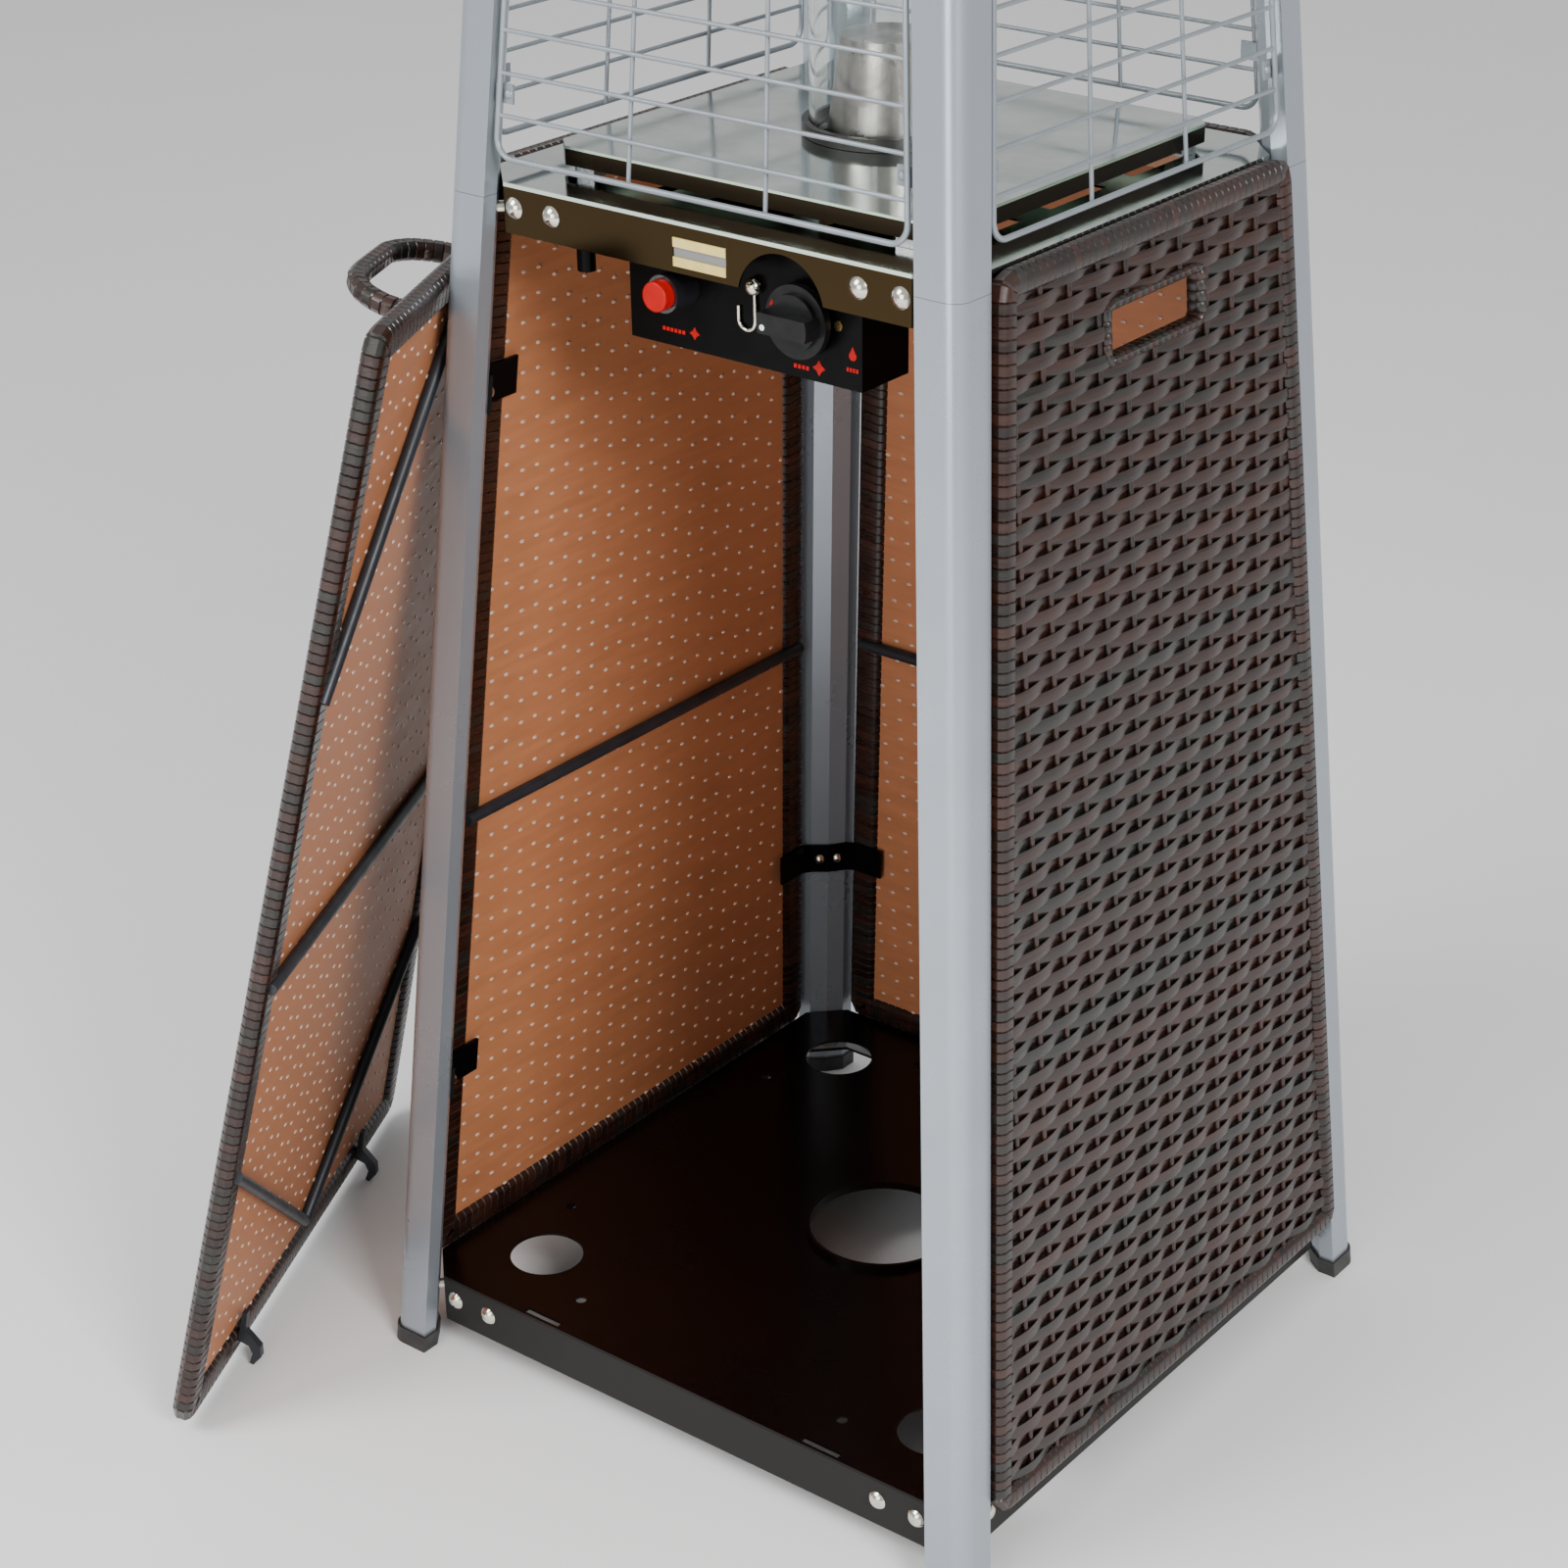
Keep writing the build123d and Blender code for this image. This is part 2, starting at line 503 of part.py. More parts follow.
# ---------------------------------------------------------------- burner and glass
def make_burner():
    plate = pan(PLATE_HALF, PLATE_CUT, PLATE_TOP, PLATE_FLANGE)
    plate -= Pos(0, 0, PLATE_TOP) * Cylinder(FLAME_HOLE_R, 20)
    feet = []
    for side in SIDES:
        for sign in (-1, 1):
            inner = PLATE_HALF - SHEET - GAP
            web = block((-7, -inner, DECK_TOP + 0.2), (7, GAP - inner + 1.5, PLATE_TOP - SHEET - GAP))
            web += block((-7, -inner, DECK_TOP + 0.2), (7, 12 - inner, DECK_TOP + 2))
            feet.append(to_side(Pos(sign * FOOT_SPOT, 0, 0) * web, side))
    ring = Pos(0, 0, PLATE_TOP + GAP + RING_HEIGHT / 2) * Cylinder(RING_R, RING_HEIGHT)
    ring -= Pos(0, 0, PLATE_TOP) * Cylinder(FLAME_HOLE_R, 40)
    ring -= Pos(0, 0, GLASS_BOTTOM - 0.2 + 10) * Cylinder(GLASS_R + GAP, 20)
    cup = DECK_TOP - 2       # height of the burner's gauze, inside its cup
    burner = Pos(0, 0, cup - 10) * Cylinder(44, 50) - Pos(0, 0, cup - 6) * Cylinder(42.5, 50)
    burner += Pos(0, 0, cup) * Cylinder(43, 3)
    burner += Pos(0, 0, cup + 17) * (Cylinder(58, 2.4) - Cylinder(42.5, 3))
    burner += Pos(0, 0, cup + 15) * (Cylinder(44, 4) - Cylinder(42.5, 5))
    for radius, count in ((14, 8), (26, 16), (37, 24)):
        for index in range(count):
            angle = 2 * math.pi * index / count
            burner -= Pos(radius * math.cos(angle), radius * math.sin(angle), cup) * Cylinder(1.6, 10)
    burner -= Pos(0, 0, cup - 33) * Cylinder(8.3, 20)
    screen = Pos(0, 0, cup + 42) * (Cone(41.5, 30, 80) - Cone(40.3, 28.8, 80.02))
    screen += Pos(0, 0, cup + 81) * Cylinder(29.5, 2)
    pilot = block((-22, -26, cup + 1.8), (-4, -18, cup + 5))
    pilot += bar(2.2, (-8, -22, cup + 4), (-8, -22, cup + 34))
    pilot += bar(1.6, (-18, -22, cup + 4), (-18, -22, cup + 38))
    save("burner_plate", plate)
    save("burner_plate_feet", *feet)
    save("glass_seat_ring", ring)
    save("burner", burner)
    save("flame_screen", screen)
    save("pilot_and_probe", pilot)
    tube = Pos(0, 0, GLASS_BOTTOM + GLASS_LENGTH / 2) * Cylinder(GLASS_R, GLASS_LENGTH)
    tube -= Pos(0, 0, GLASS_BOTTOM + GLASS_LENGTH / 2) * Cylinder(GLASS_R - GLASS_WALL, GLASS_LENGTH + 2)
    save("glass_tube", tube)


# ---------------------------------------------------------------- controls
def along_y(radius, x, z, start, end):
    """A round bar that runs front to back."""
    return bar(radius, (x, start, z), (x, end, z))


def make_controls():
    shell = block(BOX_LOW, BOX_HIGH)
    inside_low = [v + BOX_WALL for v in BOX_LOW]
    inside_high = (BOX_HIGH[0] - BOX_WALL, BOX_HIGH[1] - BOX_WALL, BOX_HIGH[2] + 1)
    shell -= block(inside_low, inside_high)
    front = BOX_LOW[1]
    shell -= along_y(7.0, KNOB_X, KNOB_Z, front - 5, front + 5)
    shell -= along_y(8.4, IGNITER_X, IGNITER_Z, front - 5, front + 5)
    shell -= along_y(3.4, IDLE_X, KNOB_Z, front - 5, front + 5)
    shell -= along_y(2.5, HOOK_X, HOOK_Z, front - 5, front + 5)
    shell -= along_y(9.0, KNOB_X, KNOB_Z - 12, BOX_HIGH[1] - 5, BOX_HIGH[1] + 5)
    shell -= along_y(5.0, PIPE_X, PIPE_Z, BOX_HIGH[1] - 5, BOX_HIGH[1] + 5)
    save("control_box", shell)

    valve = block((KNOB_X - 22, -158, KNOB_Z - 24), (KNOB_X + 32, -126, KNOB_Z + 20))
    valve += along_y(6.4, KNOB_X, KNOB_Z, -157, -166)
    valve -= along_y(STEM_R + STEM_FIT, KNOB_X, KNOB_Z, -140, -170)
    valve -= along_y(2.7, IDLE_X, KNOB_Z, -150, -170)
    valve -= along_y(6.2, KNOB_X, KNOB_Z - 12, -134, -120)
    save("gas_valve", valve)
    save("idle_screw", along_y(2.5, IDLE_X, KNOB_Z, -151, -162) + along_y(3.2, IDLE_X, KNOB_Z, -161, -166))
    inlet = along_y(6.0, KNOB_X, KNOB_Z - 12, -133.8, -92)
    inlet += along_y(8.5, KNOB_X, KNOB_Z - 12, -112, -100)
    inlet -= along_y(3.2, KNOB_X, KNOB_Z - 12, -125, -90)
    save("gas_inlet", inlet)
    turns = [(PIPE_X, -125.7, PIPE_Z), (PIPE_X, -60, PIPE_Z), (0, 0, PIPE_Z), (0, 0, PIPE_Z + 16)]
    pipe = bar(8.0, (0, 0, PIPE_Z + 2), turns[-1])
    for start, end in zip(turns, turns[1:]):
        pipe += bar(4.0, start, end)
    for turn in turns[1:-1]:
        pipe += Pos(*turn) * Sphere(4.0)
    save("burner_pipe", pipe)

    stem = along_y(STEM_R, KNOB_X, KNOB_Z, STEM_BACK, STEM_FRONT)
    save("valve_stem", stem)
    knob = along_y(KNOB_R, KNOB_X, KNOB_Z, KNOB_BACK, KNOB_BACK - 5.5)
    knob += along_y(17.5, KNOB_X, KNOB_Z, KNOB_BACK - 5, KNOB_BACK - 9)
    grip = block((-19, KNOB_FACE, -6.5), (19, KNOB_BACK - 5, 6.5))
    grip &= along_y(19, 0, 0, KNOB_BACK, KNOB_FACE - 1)
    knob += Pos(KNOB_X, 0, KNOB_Z) * grip
    knob -= along_y(STEM_R + STEM_FIT, KNOB_X, KNOB_Z, KNOB_BACK + 1, STEM_FRONT - 0.5)
    save("control_knob", knob)

    bezel = along_y(BEZEL_R, IGNITER_X, IGNITER_Z, front - 0.3, BEZEL_FRONT)
    bezel += along_y(8.0, IGNITER_X, IGNITER_Z, front - 1, -126)
    bezel -= along_y(BUTTON_R + GAP, IGNITER_X, IGNITER_Z, BUTTON_BACK + 5, BEZEL_FRONT - 1)
    save("igniter_body", bezel)
    button = along_y(BUTTON_R, IGNITER_X, IGNITER_Z, BUTTON_BACK, BUTTON_FRONT)
    save("igniter_button", fillet(button.edges().sort_by(Axis.Y)[0], 1.6))

    x, y = SWITCH_SPOT
    switch = bar(6.0, (x, y, DECK_TOP - 56), (x, y, DECK_TOP - 8))
    switch += bar(9.0, (x, y, DECK_TOP - 12), (x, y, DECK_TOP - SHEET - GAP))
    save("tilt_switch", switch)


def make_catch_and_hook():
    layers = []
    for index, proud in ((-1, 0.6), (0, -0.6), (1, 0.6)):
        low = CATCH_Z + (index - 0.5) * CATCH_LAYER + 0.1
        layers.append(block((-CATCH_HALF, -DECK_HALF - proud, low),
                            (CATCH_HALF, -178, low + CATCH_LAYER - 0.2)))
    save("magnet_catch", *layers)
    head = HOOK_Y - HOOK_WIRE - GAP
    save("hook_screw", dome_screw((HOOK_X, head, HOOK_Z), (0, -1, 0), 5.8, 5.0, 2.3, 8))
    bend = HOOK_DROP + EYE_R
    shank = Line((HOOK_X, HOOK_Y, HOOK_Z - EYE_R), (HOOK_X, HOOK_Y, HOOK_Z - bend))
    curl = Plane(origin=(HOOK_X - HOOK_BEND, HOOK_Y, HOOK_Z - bend), x_dir=(1, 0, 0), z_dir=(0, -1, 0)) \
        * CenterArc((0, 0), HOOK_BEND, 0, -180)
    tip_x = HOOK_X - 2 * HOOK_BEND
    tip = Line((tip_x, HOOK_Y, HOOK_Z - bend), (tip_x, HOOK_Y, HOOK_Z - bend + 8))
    path = Wire([shank, curl, tip])
    wire = sweep(Plane(origin=path @ 0, z_dir=path % 0) * Circle(HOOK_WIRE), path=path)
    eye = Plane(origin=(HOOK_X, HOOK_Y, HOOK_Z), z_dir=(0, 1, 0)).location * Torus(EYE_R, HOOK_WIRE)
    save("match_hook", wire + eye)


# ---------------------------------------------------------------- guards
def make_guards():
    slope = math.cos(math.radians(LEAN))
    rise = (GUARD_TOP - GUARD_BOTTOM) / slope
    foot, head = leg_face(GUARD_BOTTOM) - GUARD_SIDE, leg_face(GUARD_TOP) - GUARD_SIDE
    outline = make_face(Polyline((-foot, 0), (foot, 0), (head, rise), (-head, rise), close=True))
    outline = fillet(outline.vertices(), GUARD_CORNER_R)
    upright = Plane(origin=(0, 0, 0), x_dir=(1, 0, 0), z_dir=(0, -1, 0))
    path = (upright * outline).face().outer_wire()
    frame = sweep(Plane(origin=path @ 0, z_dir=path % 0) * Circle(FRAME_ROD_R), path=path)
    wires = []
    count = int(rise / GUARD_PITCH)
    for index in range(1, count + 1):
        up = index * GUARD_PITCH
        half = foot + (head - foot) * up / rise
        wires.append(bar(WIRE_R, (-half, 0, up), (half, 0, up)))
    for sign in (-1, 1):
        wires.append(bar(WIRE_R, (sign * foot / 3, WIRE_SET_BACK, 0), (sign * head / 3, WIRE_SET_BACK, rise)))
    guard = frame + wires
    place = Pos(0, GUARD_DEPTH - leg_face(GUARD_BOTTOM), GUARD_BOTTOM) * Rot(-LEAN, 0, 0)
    clips = []
    for z in GUARD_CLIP_HEIGHTS:
        up = (z - GUARD_BOTTOM) / slope
        half = foot + (head - foot) * up / rise
        for sign in (-1, 1):
            tab = block((-9, FRAME_ROD_R + GAP, -6), (5.4, FRAME_ROD_R + GAP + 1.5, 6))
            tab += dome_screw((-5.2, FRAME_ROD_R + GAP + 0.1, 0), (0, -1, 0), 3.2, 2.0, 2.0, 1)
            if sign < 0:
                tab = tab.mirror(Plane.YZ)
            clips.append(place * Pos(sign * half, 0, up) * tab)
    for side in SIDES:
        save(f"{side}_guard", to_side(place * guard, side))
    save("guard_clips", *[to_side(clip, side) for side in SIDES for clip in clips])


# ---------------------------------------------------------------- head
def make_head():
    plate = pan(TOP_PLATE_HALF, DECK_CUT, TOP_PLATE_Z, TOP_PLATE_FLANGE)
    plate -= Pos(0, 0, TOP_PLATE_Z) * Cylinder(FLAME_HOLE_R, 10)
    bolt_z = CORNER_BOLT_HEIGHTS[2]
    for quarter in QUARTERS:
        plate -= to_quarter(corner_bolt_hole(bolt_z, BOLT_HOLE_R), quarter)
    collar_low = GLASS_BOTTOM + GLASS_LENGTH - 6
    collar = Pos(0, 0, (collar_low + TOP_PLATE_Z - SHEET - GAP) / 2) * Cylinder(
        RING_R, TOP_PLATE_Z - SHEET - GAP - collar_low)
    collar -= Pos(0, 0, TOP_PLATE_Z) * Cylinder(FLAME_HOLE_R, 100)
    collar -= Pos(0, 0, collar_low + 3.5) * Cylinder(GLASS_R + GAP, 7.4)
    reflector = pan(REFLECTOR_HALF, REFLECTOR_CUT, REFLECTOR_Z, REFLECTOR_DEPTH)
    posts, nuts = [], []
    for x, y in four(POST_SPOT, POST_SPOT):
        plate -= Pos(x, y, TOP_PLATE_Z) * Cylinder(3.2, 10)
        reflector -= Pos(x, y, REFLECTOR_Z) * Cylinder(3.2, 10)
        under = REFLECTOR_Z - SHEET - 0.2
        post = bar(POST_R + 2, (x, y, TOP_PLATE_Z + 0.2), (x, y, under))
        post += bar(3.0, (x, y, TOP_PLATE_Z - 8), (x, y, REFLECTOR_Z + 0.1))
        posts.append(post)
        nuts.append(dome_screw((x, y, REFLECTOR_Z + 0.3), (0, 0, 1), 6.0, 4.5, 2.0, 0))
    save("top_plate", plate)
    save("glass_top_collar", collar)
    save("reflector", reflector)
    save("reflector_posts", *posts)
    save("reflector_nuts", *nuts)


os.makedirs("parts", exist_ok=True)
make_legs()
save("dome_screws", *make_tray(), *make_deck())
save("corner_bolts", *[bolt for z in CORNER_BOLT_HEIGHTS for bolt in corner_bolts(z)])
make_panels()
make_clips()
make_door()
make_burner()
make_controls()
make_catch_and_hook()
make_guards()
make_head()
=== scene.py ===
import json
import math
import random

import bpy
from mathutils import Euler, Matrix, Vector


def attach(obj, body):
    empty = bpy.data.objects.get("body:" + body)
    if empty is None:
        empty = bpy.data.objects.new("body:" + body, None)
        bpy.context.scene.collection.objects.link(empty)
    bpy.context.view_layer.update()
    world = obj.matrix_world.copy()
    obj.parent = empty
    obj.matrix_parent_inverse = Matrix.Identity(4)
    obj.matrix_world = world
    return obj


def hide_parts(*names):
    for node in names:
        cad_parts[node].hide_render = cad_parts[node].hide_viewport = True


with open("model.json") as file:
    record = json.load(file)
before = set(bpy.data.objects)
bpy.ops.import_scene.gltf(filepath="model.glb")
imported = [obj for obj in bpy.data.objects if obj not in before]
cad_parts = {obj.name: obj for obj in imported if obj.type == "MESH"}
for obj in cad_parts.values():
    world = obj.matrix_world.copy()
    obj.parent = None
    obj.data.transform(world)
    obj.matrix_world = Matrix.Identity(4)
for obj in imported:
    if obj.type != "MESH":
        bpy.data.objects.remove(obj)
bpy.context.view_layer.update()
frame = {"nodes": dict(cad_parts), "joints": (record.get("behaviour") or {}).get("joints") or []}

# Metres, +Z up, -Y is the door side.  Dimensions shared with the CAD model.
LEAN = math.atan(0.0766)            # how far every side leans inwards
BORDER, INNER_BORDER = 0.016, 0.024  # rolled border round each panel, outside and inside
SLOT_HALF, SLOT_LOW, SLOT_HIGH = 0.051, 0.811, 0.840
PANEL_FOOT_HALF, PANEL_HEAD_HALF = 0.22731, 0.16358
PANEL_FOOT, PANEL_HEAD = 0.056, 0.888
PANEL_RISE = (PANEL_HEAD - PANEL_FOOT) / math.cos(LEAN)
PANEL_CORNER = 0.014
PANEL_HALF_THICK = 0.007
FOOT_FACE = 0.26231                 # the legs' outer faces, at the panels' foot
HANDLE_HALF, HANDLE_REACH, HANDLE_UP, HANDLE_BEND, HANDLE_R = 0.060, 0.050, 0.811, 0.042, 0.0065

# Weave
STAKE_PITCH = 0.0306
ROW_PITCH = 0.0088
STRIP_HEIGHT, STRIP_THICK = 0.0088, 0.0011
STAKE_DEPTH, WAVE = -0.0022, 0.0022  # the stakes' middle, and how far strips swing round them
STAKE_R = 0.0021
STEPS = 4                            # strip segments from stake to stake
WRAP = 0.0072                        # width of one turn round the border
LINING_DEPTH = 0.0032
SMOOTH_ANGLE = math.radians(50)      # sharper edges than this stay sharp on flat strips
WRAP_SMOOTH_ANGLE = math.radians(40)  # the same on the wound strips
KNOT_RADII = (0.0029, 0.0010, 0.0017)
KNOT_PAIR = 0.0148                   # from one knot of a pair to the other
KNOT_START = 0.024                   # height of the lowest row of knots
KNOT_ROOM = (0.006, 0.004)           # kept clear beside and above the hand slot
STRIP_CROWN = 0.0006                 # how far a strip's middle stands out from its edges
LINING_THICK = 0.0008
WEAVE_INSET, STAKE_INSET, LINING_INSET = 0.7, 0.6, 0.9   # shares of the border that each reaches under

# One turn round a core, as shares of the turn's width and of the core's size
SEAM_START, SEAM_END = 0.40, 0.45    # the strip thins from here to its edge
SEAM_SIZE, CORNER_SIZE = 0.90, 1.14
CORNER_FROM = 0.3                    # how far out the swollen corners begin
LIP_FROM = 0.2

# Hand slot's rim and the handle's ends
RIM_OUT, RIM_CORNER, RIM_CORNER_STEPS = 0.003, 0.005, 3
RIM_HALF_FLAT, RIM_HALF_DEEP = 0.0038, 0.0060
HANDLE_ROOT = -0.004


# ---------------------------------------------------------------- small helpers
def deselect():
    if bpy.context.object and bpy.context.object.mode != "OBJECT":
        bpy.ops.object.mode_set(mode="OBJECT")
    bpy.ops.object.select_all(action="DESELECT")


def pick(piece):
    """Make one object the only selected and active one."""
    deselect()
    piece.select_set(True)
    bpy.context.view_layer.objects.active = piece


def named(name):
    piece = bpy.context.object
    piece.name = name
    piece.data.name = name
    return piece


def settle(piece):
    """Put an object's place, turn and size into its mesh."""
    pick(piece)
    bpy.ops.object.transform_apply(location=True, rotation=True, scale=True)


def apply_modifiers(piece):
    pick(piece)
    for modifier in list(piece.modifiers):
        bpy.ops.object.modifier_apply(modifier=modifier.name)


def select_where(piece, test):
    """In edit mode, select exactly the vertices that pass a test of their place."""
    pick(piece)
    bpy.ops.object.mode_set(mode="EDIT")
    bpy.ops.mesh.select_all(action="DESELECT")
    bpy.ops.object.mode_set(mode="OBJECT")
    for vertex in piece.data.vertices:
        vertex.select = test(vertex.co)
    bpy.ops.object.mode_set(mode="EDIT")


def shift_where(piece, test, offset):
    select_where(piece, test)
    bpy.ops.transform.translate(value=offset)
    bpy.ops.object.mode_set(mode="OBJECT")


def delete_faces(piece, test):
    """Take away the faces whose middles pass a test of their place."""
    pick(piece)
    bpy.ops.object.mode_set(mode="EDIT")
    bpy.ops.mesh.select_mode(type="FACE")
    bpy.ops.mesh.select_all(action="DESELECT")
    bpy.ops.object.mode_set(mode="OBJECT")
    for face in piece.data.polygons:
        face.select = test(face.center)
    bpy.ops.object.mode_set(mode="EDIT")
    bpy.ops.mesh.delete(type="FACE")
    bpy.ops.mesh.select_mode(type="VERT")
    bpy.ops.object.mode_set(mode="OBJECT")


def cut(piece, point, normal, clear=True):
    """Cut a whole mesh with a plane; what lies on the normal's side is taken away."""
    pick(piece)
    bpy.ops.object.mode_set(mode="EDIT")
    bpy.ops.mesh.select_all(action="SELECT")
    bpy.ops.mesh.bisect(plane_co=point, plane_no=normal, clear_outer=clear, threshold=0.00001)
    bpy.ops.object.mode_set(mode="OBJECT")


def repeat(piece, offset, count):
    """Copies of a mesh in a row."""
    row = piece.modifiers.new("Row", "ARRAY")
    row.use_relative_offset = False
    row.use_constant_offset = True
    row.constant_offset_displace = offset
    row.count = count
    apply_modifiers(piece)


def copy_of(piece, name):
    twin = piece.copy()
    twin.data = piece.data.copy()
    twin.name = name
    bpy.context.collection.objects.link(twin)
    return twin


def join(first, *others):
    pick(first)
    for other in others:
        other.select_set(True)
    bpy.ops.object.join()
    return first


def place(piece, matrix):
    piece.matrix_world = matrix
    settle(piece)


def paint(piece, *materials):
    piece.data.materials.clear()
    for material in materials:
        piece.data.materials.append(material)


# ---------------------------------------------------------------- shader groups
def new_group(name, inputs, outputs):
    group = bpy.data.node_groups.new(name, "ShaderNodeTree")
    for label, kind in inputs:
        group.interface.new_socket(name=label, in_out="INPUT", socket_type=kind)
    for label, kind in outputs:
        group.interface.new_socket(name=label, in_out="OUTPUT", socket_type=kind)
    return group, group.nodes.new("NodeGroupInput"), group.nodes.new("NodeGroupOutput")


def mottle_group():
    """Soft patches between two colours, with matching roughness and a fine grain height."""
    group, source, sink = new_group(
        "Mottle",
        [("Vector", "NodeSocketVector"), ("Colour A", "NodeSocketColor"), ("Colour B", "NodeSocketColor"),
         ("Scale", "NodeSocketFloat"), ("Grain", "NodeSocketFloat"),
         ("Rough A", "NodeSocketFloat"), ("Rough B", "NodeSocketFloat")],
        [("Colour", "NodeSocketColor"), ("Roughness", "NodeSocketFloat"), ("Height", "NodeSocketFloat")],
    )
    nodes, links = group.nodes, group.links
    patches = nodes.new("ShaderNodeTexNoise")
    patches.inputs["Detail"].default_value = 5.0
    patches.inputs["Roughness"].default_value = 0.6
    grain = nodes.new("ShaderNodeTexNoise")
    grain.inputs["Detail"].default_value = 2.0
    ramp = nodes.new("ShaderNodeMapRange")
    ramp.inputs["From Min"].default_value = 0.35
    ramp.inputs["From Max"].default_value = 0.65
    colour = nodes.new("ShaderNodeMix")
    colour.data_type = "RGBA"
    rough = nodes.new("ShaderNodeMix")
    links.new(source.outputs["Vector"], patches.inputs["Vector"])
    links.new(source.outputs["Vector"], grain.inputs["Vector"])
    links.new(source.outputs["Scale"], patches.inputs["Scale"])
    links.new(source.outputs["Grain"], grain.inputs["Scale"])
    links.new(patches.outputs["Fac"], ramp.inputs["Value"])
    links.new(ramp.outputs["Result"], colour.inputs["Factor"])
    links.new(ramp.outputs["Result"], rough.inputs["Factor"])
    links.new(source.outputs["Colour A"], colour.inputs["A"])
    links.new(source.outputs["Colour B"], colour.inputs["B"])
    links.new(source.outputs["Rough A"], rough.inputs["A"])
    links.new(source.outputs["Rough B"], rough.inputs["B"])
    links.new(colour.outputs["Result"], sink.inputs["Colour"])
    links.new(rough.outputs["Result"], sink.inputs["Roughness"])
    links.new(grain.outputs["Fac"], sink.inputs["Height"])
    return group


def band_group():
    """A mask that is 1 where a value lies between two limits."""
    group, source, sink = new_group(
        "Band",
        [("Value", "NodeSocketFloat"), ("Low", "NodeSocketFloat"), ("High", "NodeSocketFloat")],
        [("Mask", "NodeSocketFloat")],
    )
    nodes, links = group.nodes, group.links
    above = nodes.new("ShaderNodeMath")
    above.operation = "GREATER_THAN"
    below = nodes.new("ShaderNodeMath")
    below.operation = "LESS_THAN"
    both = nodes.new("ShaderNodeMath")
    both.operation = "MULTIPLY"
    links.new(source.outputs["Value"], above.inputs[0])
    links.new(source.outputs["Low"], above.inputs[1])
    links.new(source.outputs["Value"], below.inputs[0])
    links.new(source.outputs["High"], below.inputs[1])
    links.new(above.outputs["Value"], both.inputs[0])
    links.new(below.outputs["Value"], both.inputs[1])
    links.new(both.outputs["Value"], sink.inputs["Mask"])
    return group


MOTTLE = mottle_group()
BAND = band_group()


def finish(name, light, dark, scale=30, rough=(0.3, 0.4), metal=0.0, grain=900, bump=0.0, stretch=(1, 1, 1),
           coat=0.0, shine=0.5):
    """A material with two-tone patches and a fine grain, in object coordinates."""
    material = bpy.data.materials.new(name)
    material.use_nodes = True
    nodes, links = material.node_tree.nodes, material.node_tree.links
    shader = nodes["Principled BSDF"]
    shader.inputs["Metallic"].default_value = metal
    shader.inputs["Coat Weight"].default_value = coat
    shader.inputs["Coat Roughness"].default_value = 0.08
    shader.inputs["Specular IOR Level"].default_value = shine
    coordinates = nodes.new("ShaderNodeTexCoord")
    mapping = nodes.new("ShaderNodeMapping")
    mapping.inputs["Scale"].default_value = stretch
    mottle = nodes.new("ShaderNodeGroup")
    mottle.node_tree = MOTTLE
    mottle.name = "Mottle"
    mottle.inputs["Colour A"].default_value = (*light, 1)
    mottle.inputs["Colour B"].default_value = (*dark, 1)
    mottle.inputs["Scale"].default_value = scale
    mottle.inputs["Grain"].default_value = grain
    mottle.inputs["Rough A"].default_value = rough[0]
    mottle.inputs["Rough B"].default_value = rough[1]
    links.new(coordinates.outputs["Object"], mapping.inputs["Vector"])
    links.new(mapping.outputs["Vector"], mottle.inputs["Vector"])
    links.new(mottle.outputs["Colour"], shader.inputs["Base Color"])
    links.new(mottle.outputs["Roughness"], shader.inputs["Roughness"])
    if bump:
        relief = nodes.new("ShaderNodeBump")
        relief.inputs["Strength"].default_value = bump
        relief.inputs["Distance"].default_value = 0.0004
        links.new(mottle.outputs["Height"], relief.inputs["Height"])
        links.new(relief.outputs["Normal"], shader.inputs["Normal"])
    return material


def over(material, colour, *limits, rough=None):
    """Lay another colour over the part of a material that lies between limits, each (axis, low, high)."""
    nodes, links = material.node_tree.nodes, material.node_tree.links
    shader = nodes["Principled BSDF"]
    coordinates = nodes.new("ShaderNodeTexCoord")
    split = nodes.new("ShaderNodeSeparateXYZ")
    links.new(coordinates.outputs["Object"], split.inputs["Vector"])
    mask = None
    for axis, low, high in limits:
        band = nodes.new("ShaderNodeGroup")
        band.node_tree = BAND
        band.inputs["Low"].default_value = low
        band.inputs["High"].default_value = high
        links.new(split.outputs[axis], band.inputs["Value"])
        if mask is None:
            mask = band.outputs["Mask"]
            continue
        both = nodes.new("ShaderNodeMath")
        both.operation = "MULTIPLY"
        links.new(mask, both.inputs[0])
        links.new(band.outputs["Mask"], both.inputs[1])
        mask = both.outputs["Value"]
    tint = nodes.new("ShaderNodeMix")
    tint.data_type = "RGBA"
    links.new(mask, tint.inputs["Factor"])
    links.new(shader.inputs["Base Color"].links[0].from_socket, tint.inputs["A"])
    tint.inputs["B"].default_value = (*colour, 1)
    links.new(tint.outputs["Result"], shader.inputs["Base Color"])
    if rough is not None:
        gloss = nodes.new("ShaderNodeMix")
        links.new(mask, gloss.inputs["Factor"])
        links.new(shader.inputs["Roughness"].links[0].from_socket, gloss.inputs["A"])
        gloss.inputs["B"].default_value = rough
        links.new(gloss.outputs["Result"], shader.inputs["Roughness"])


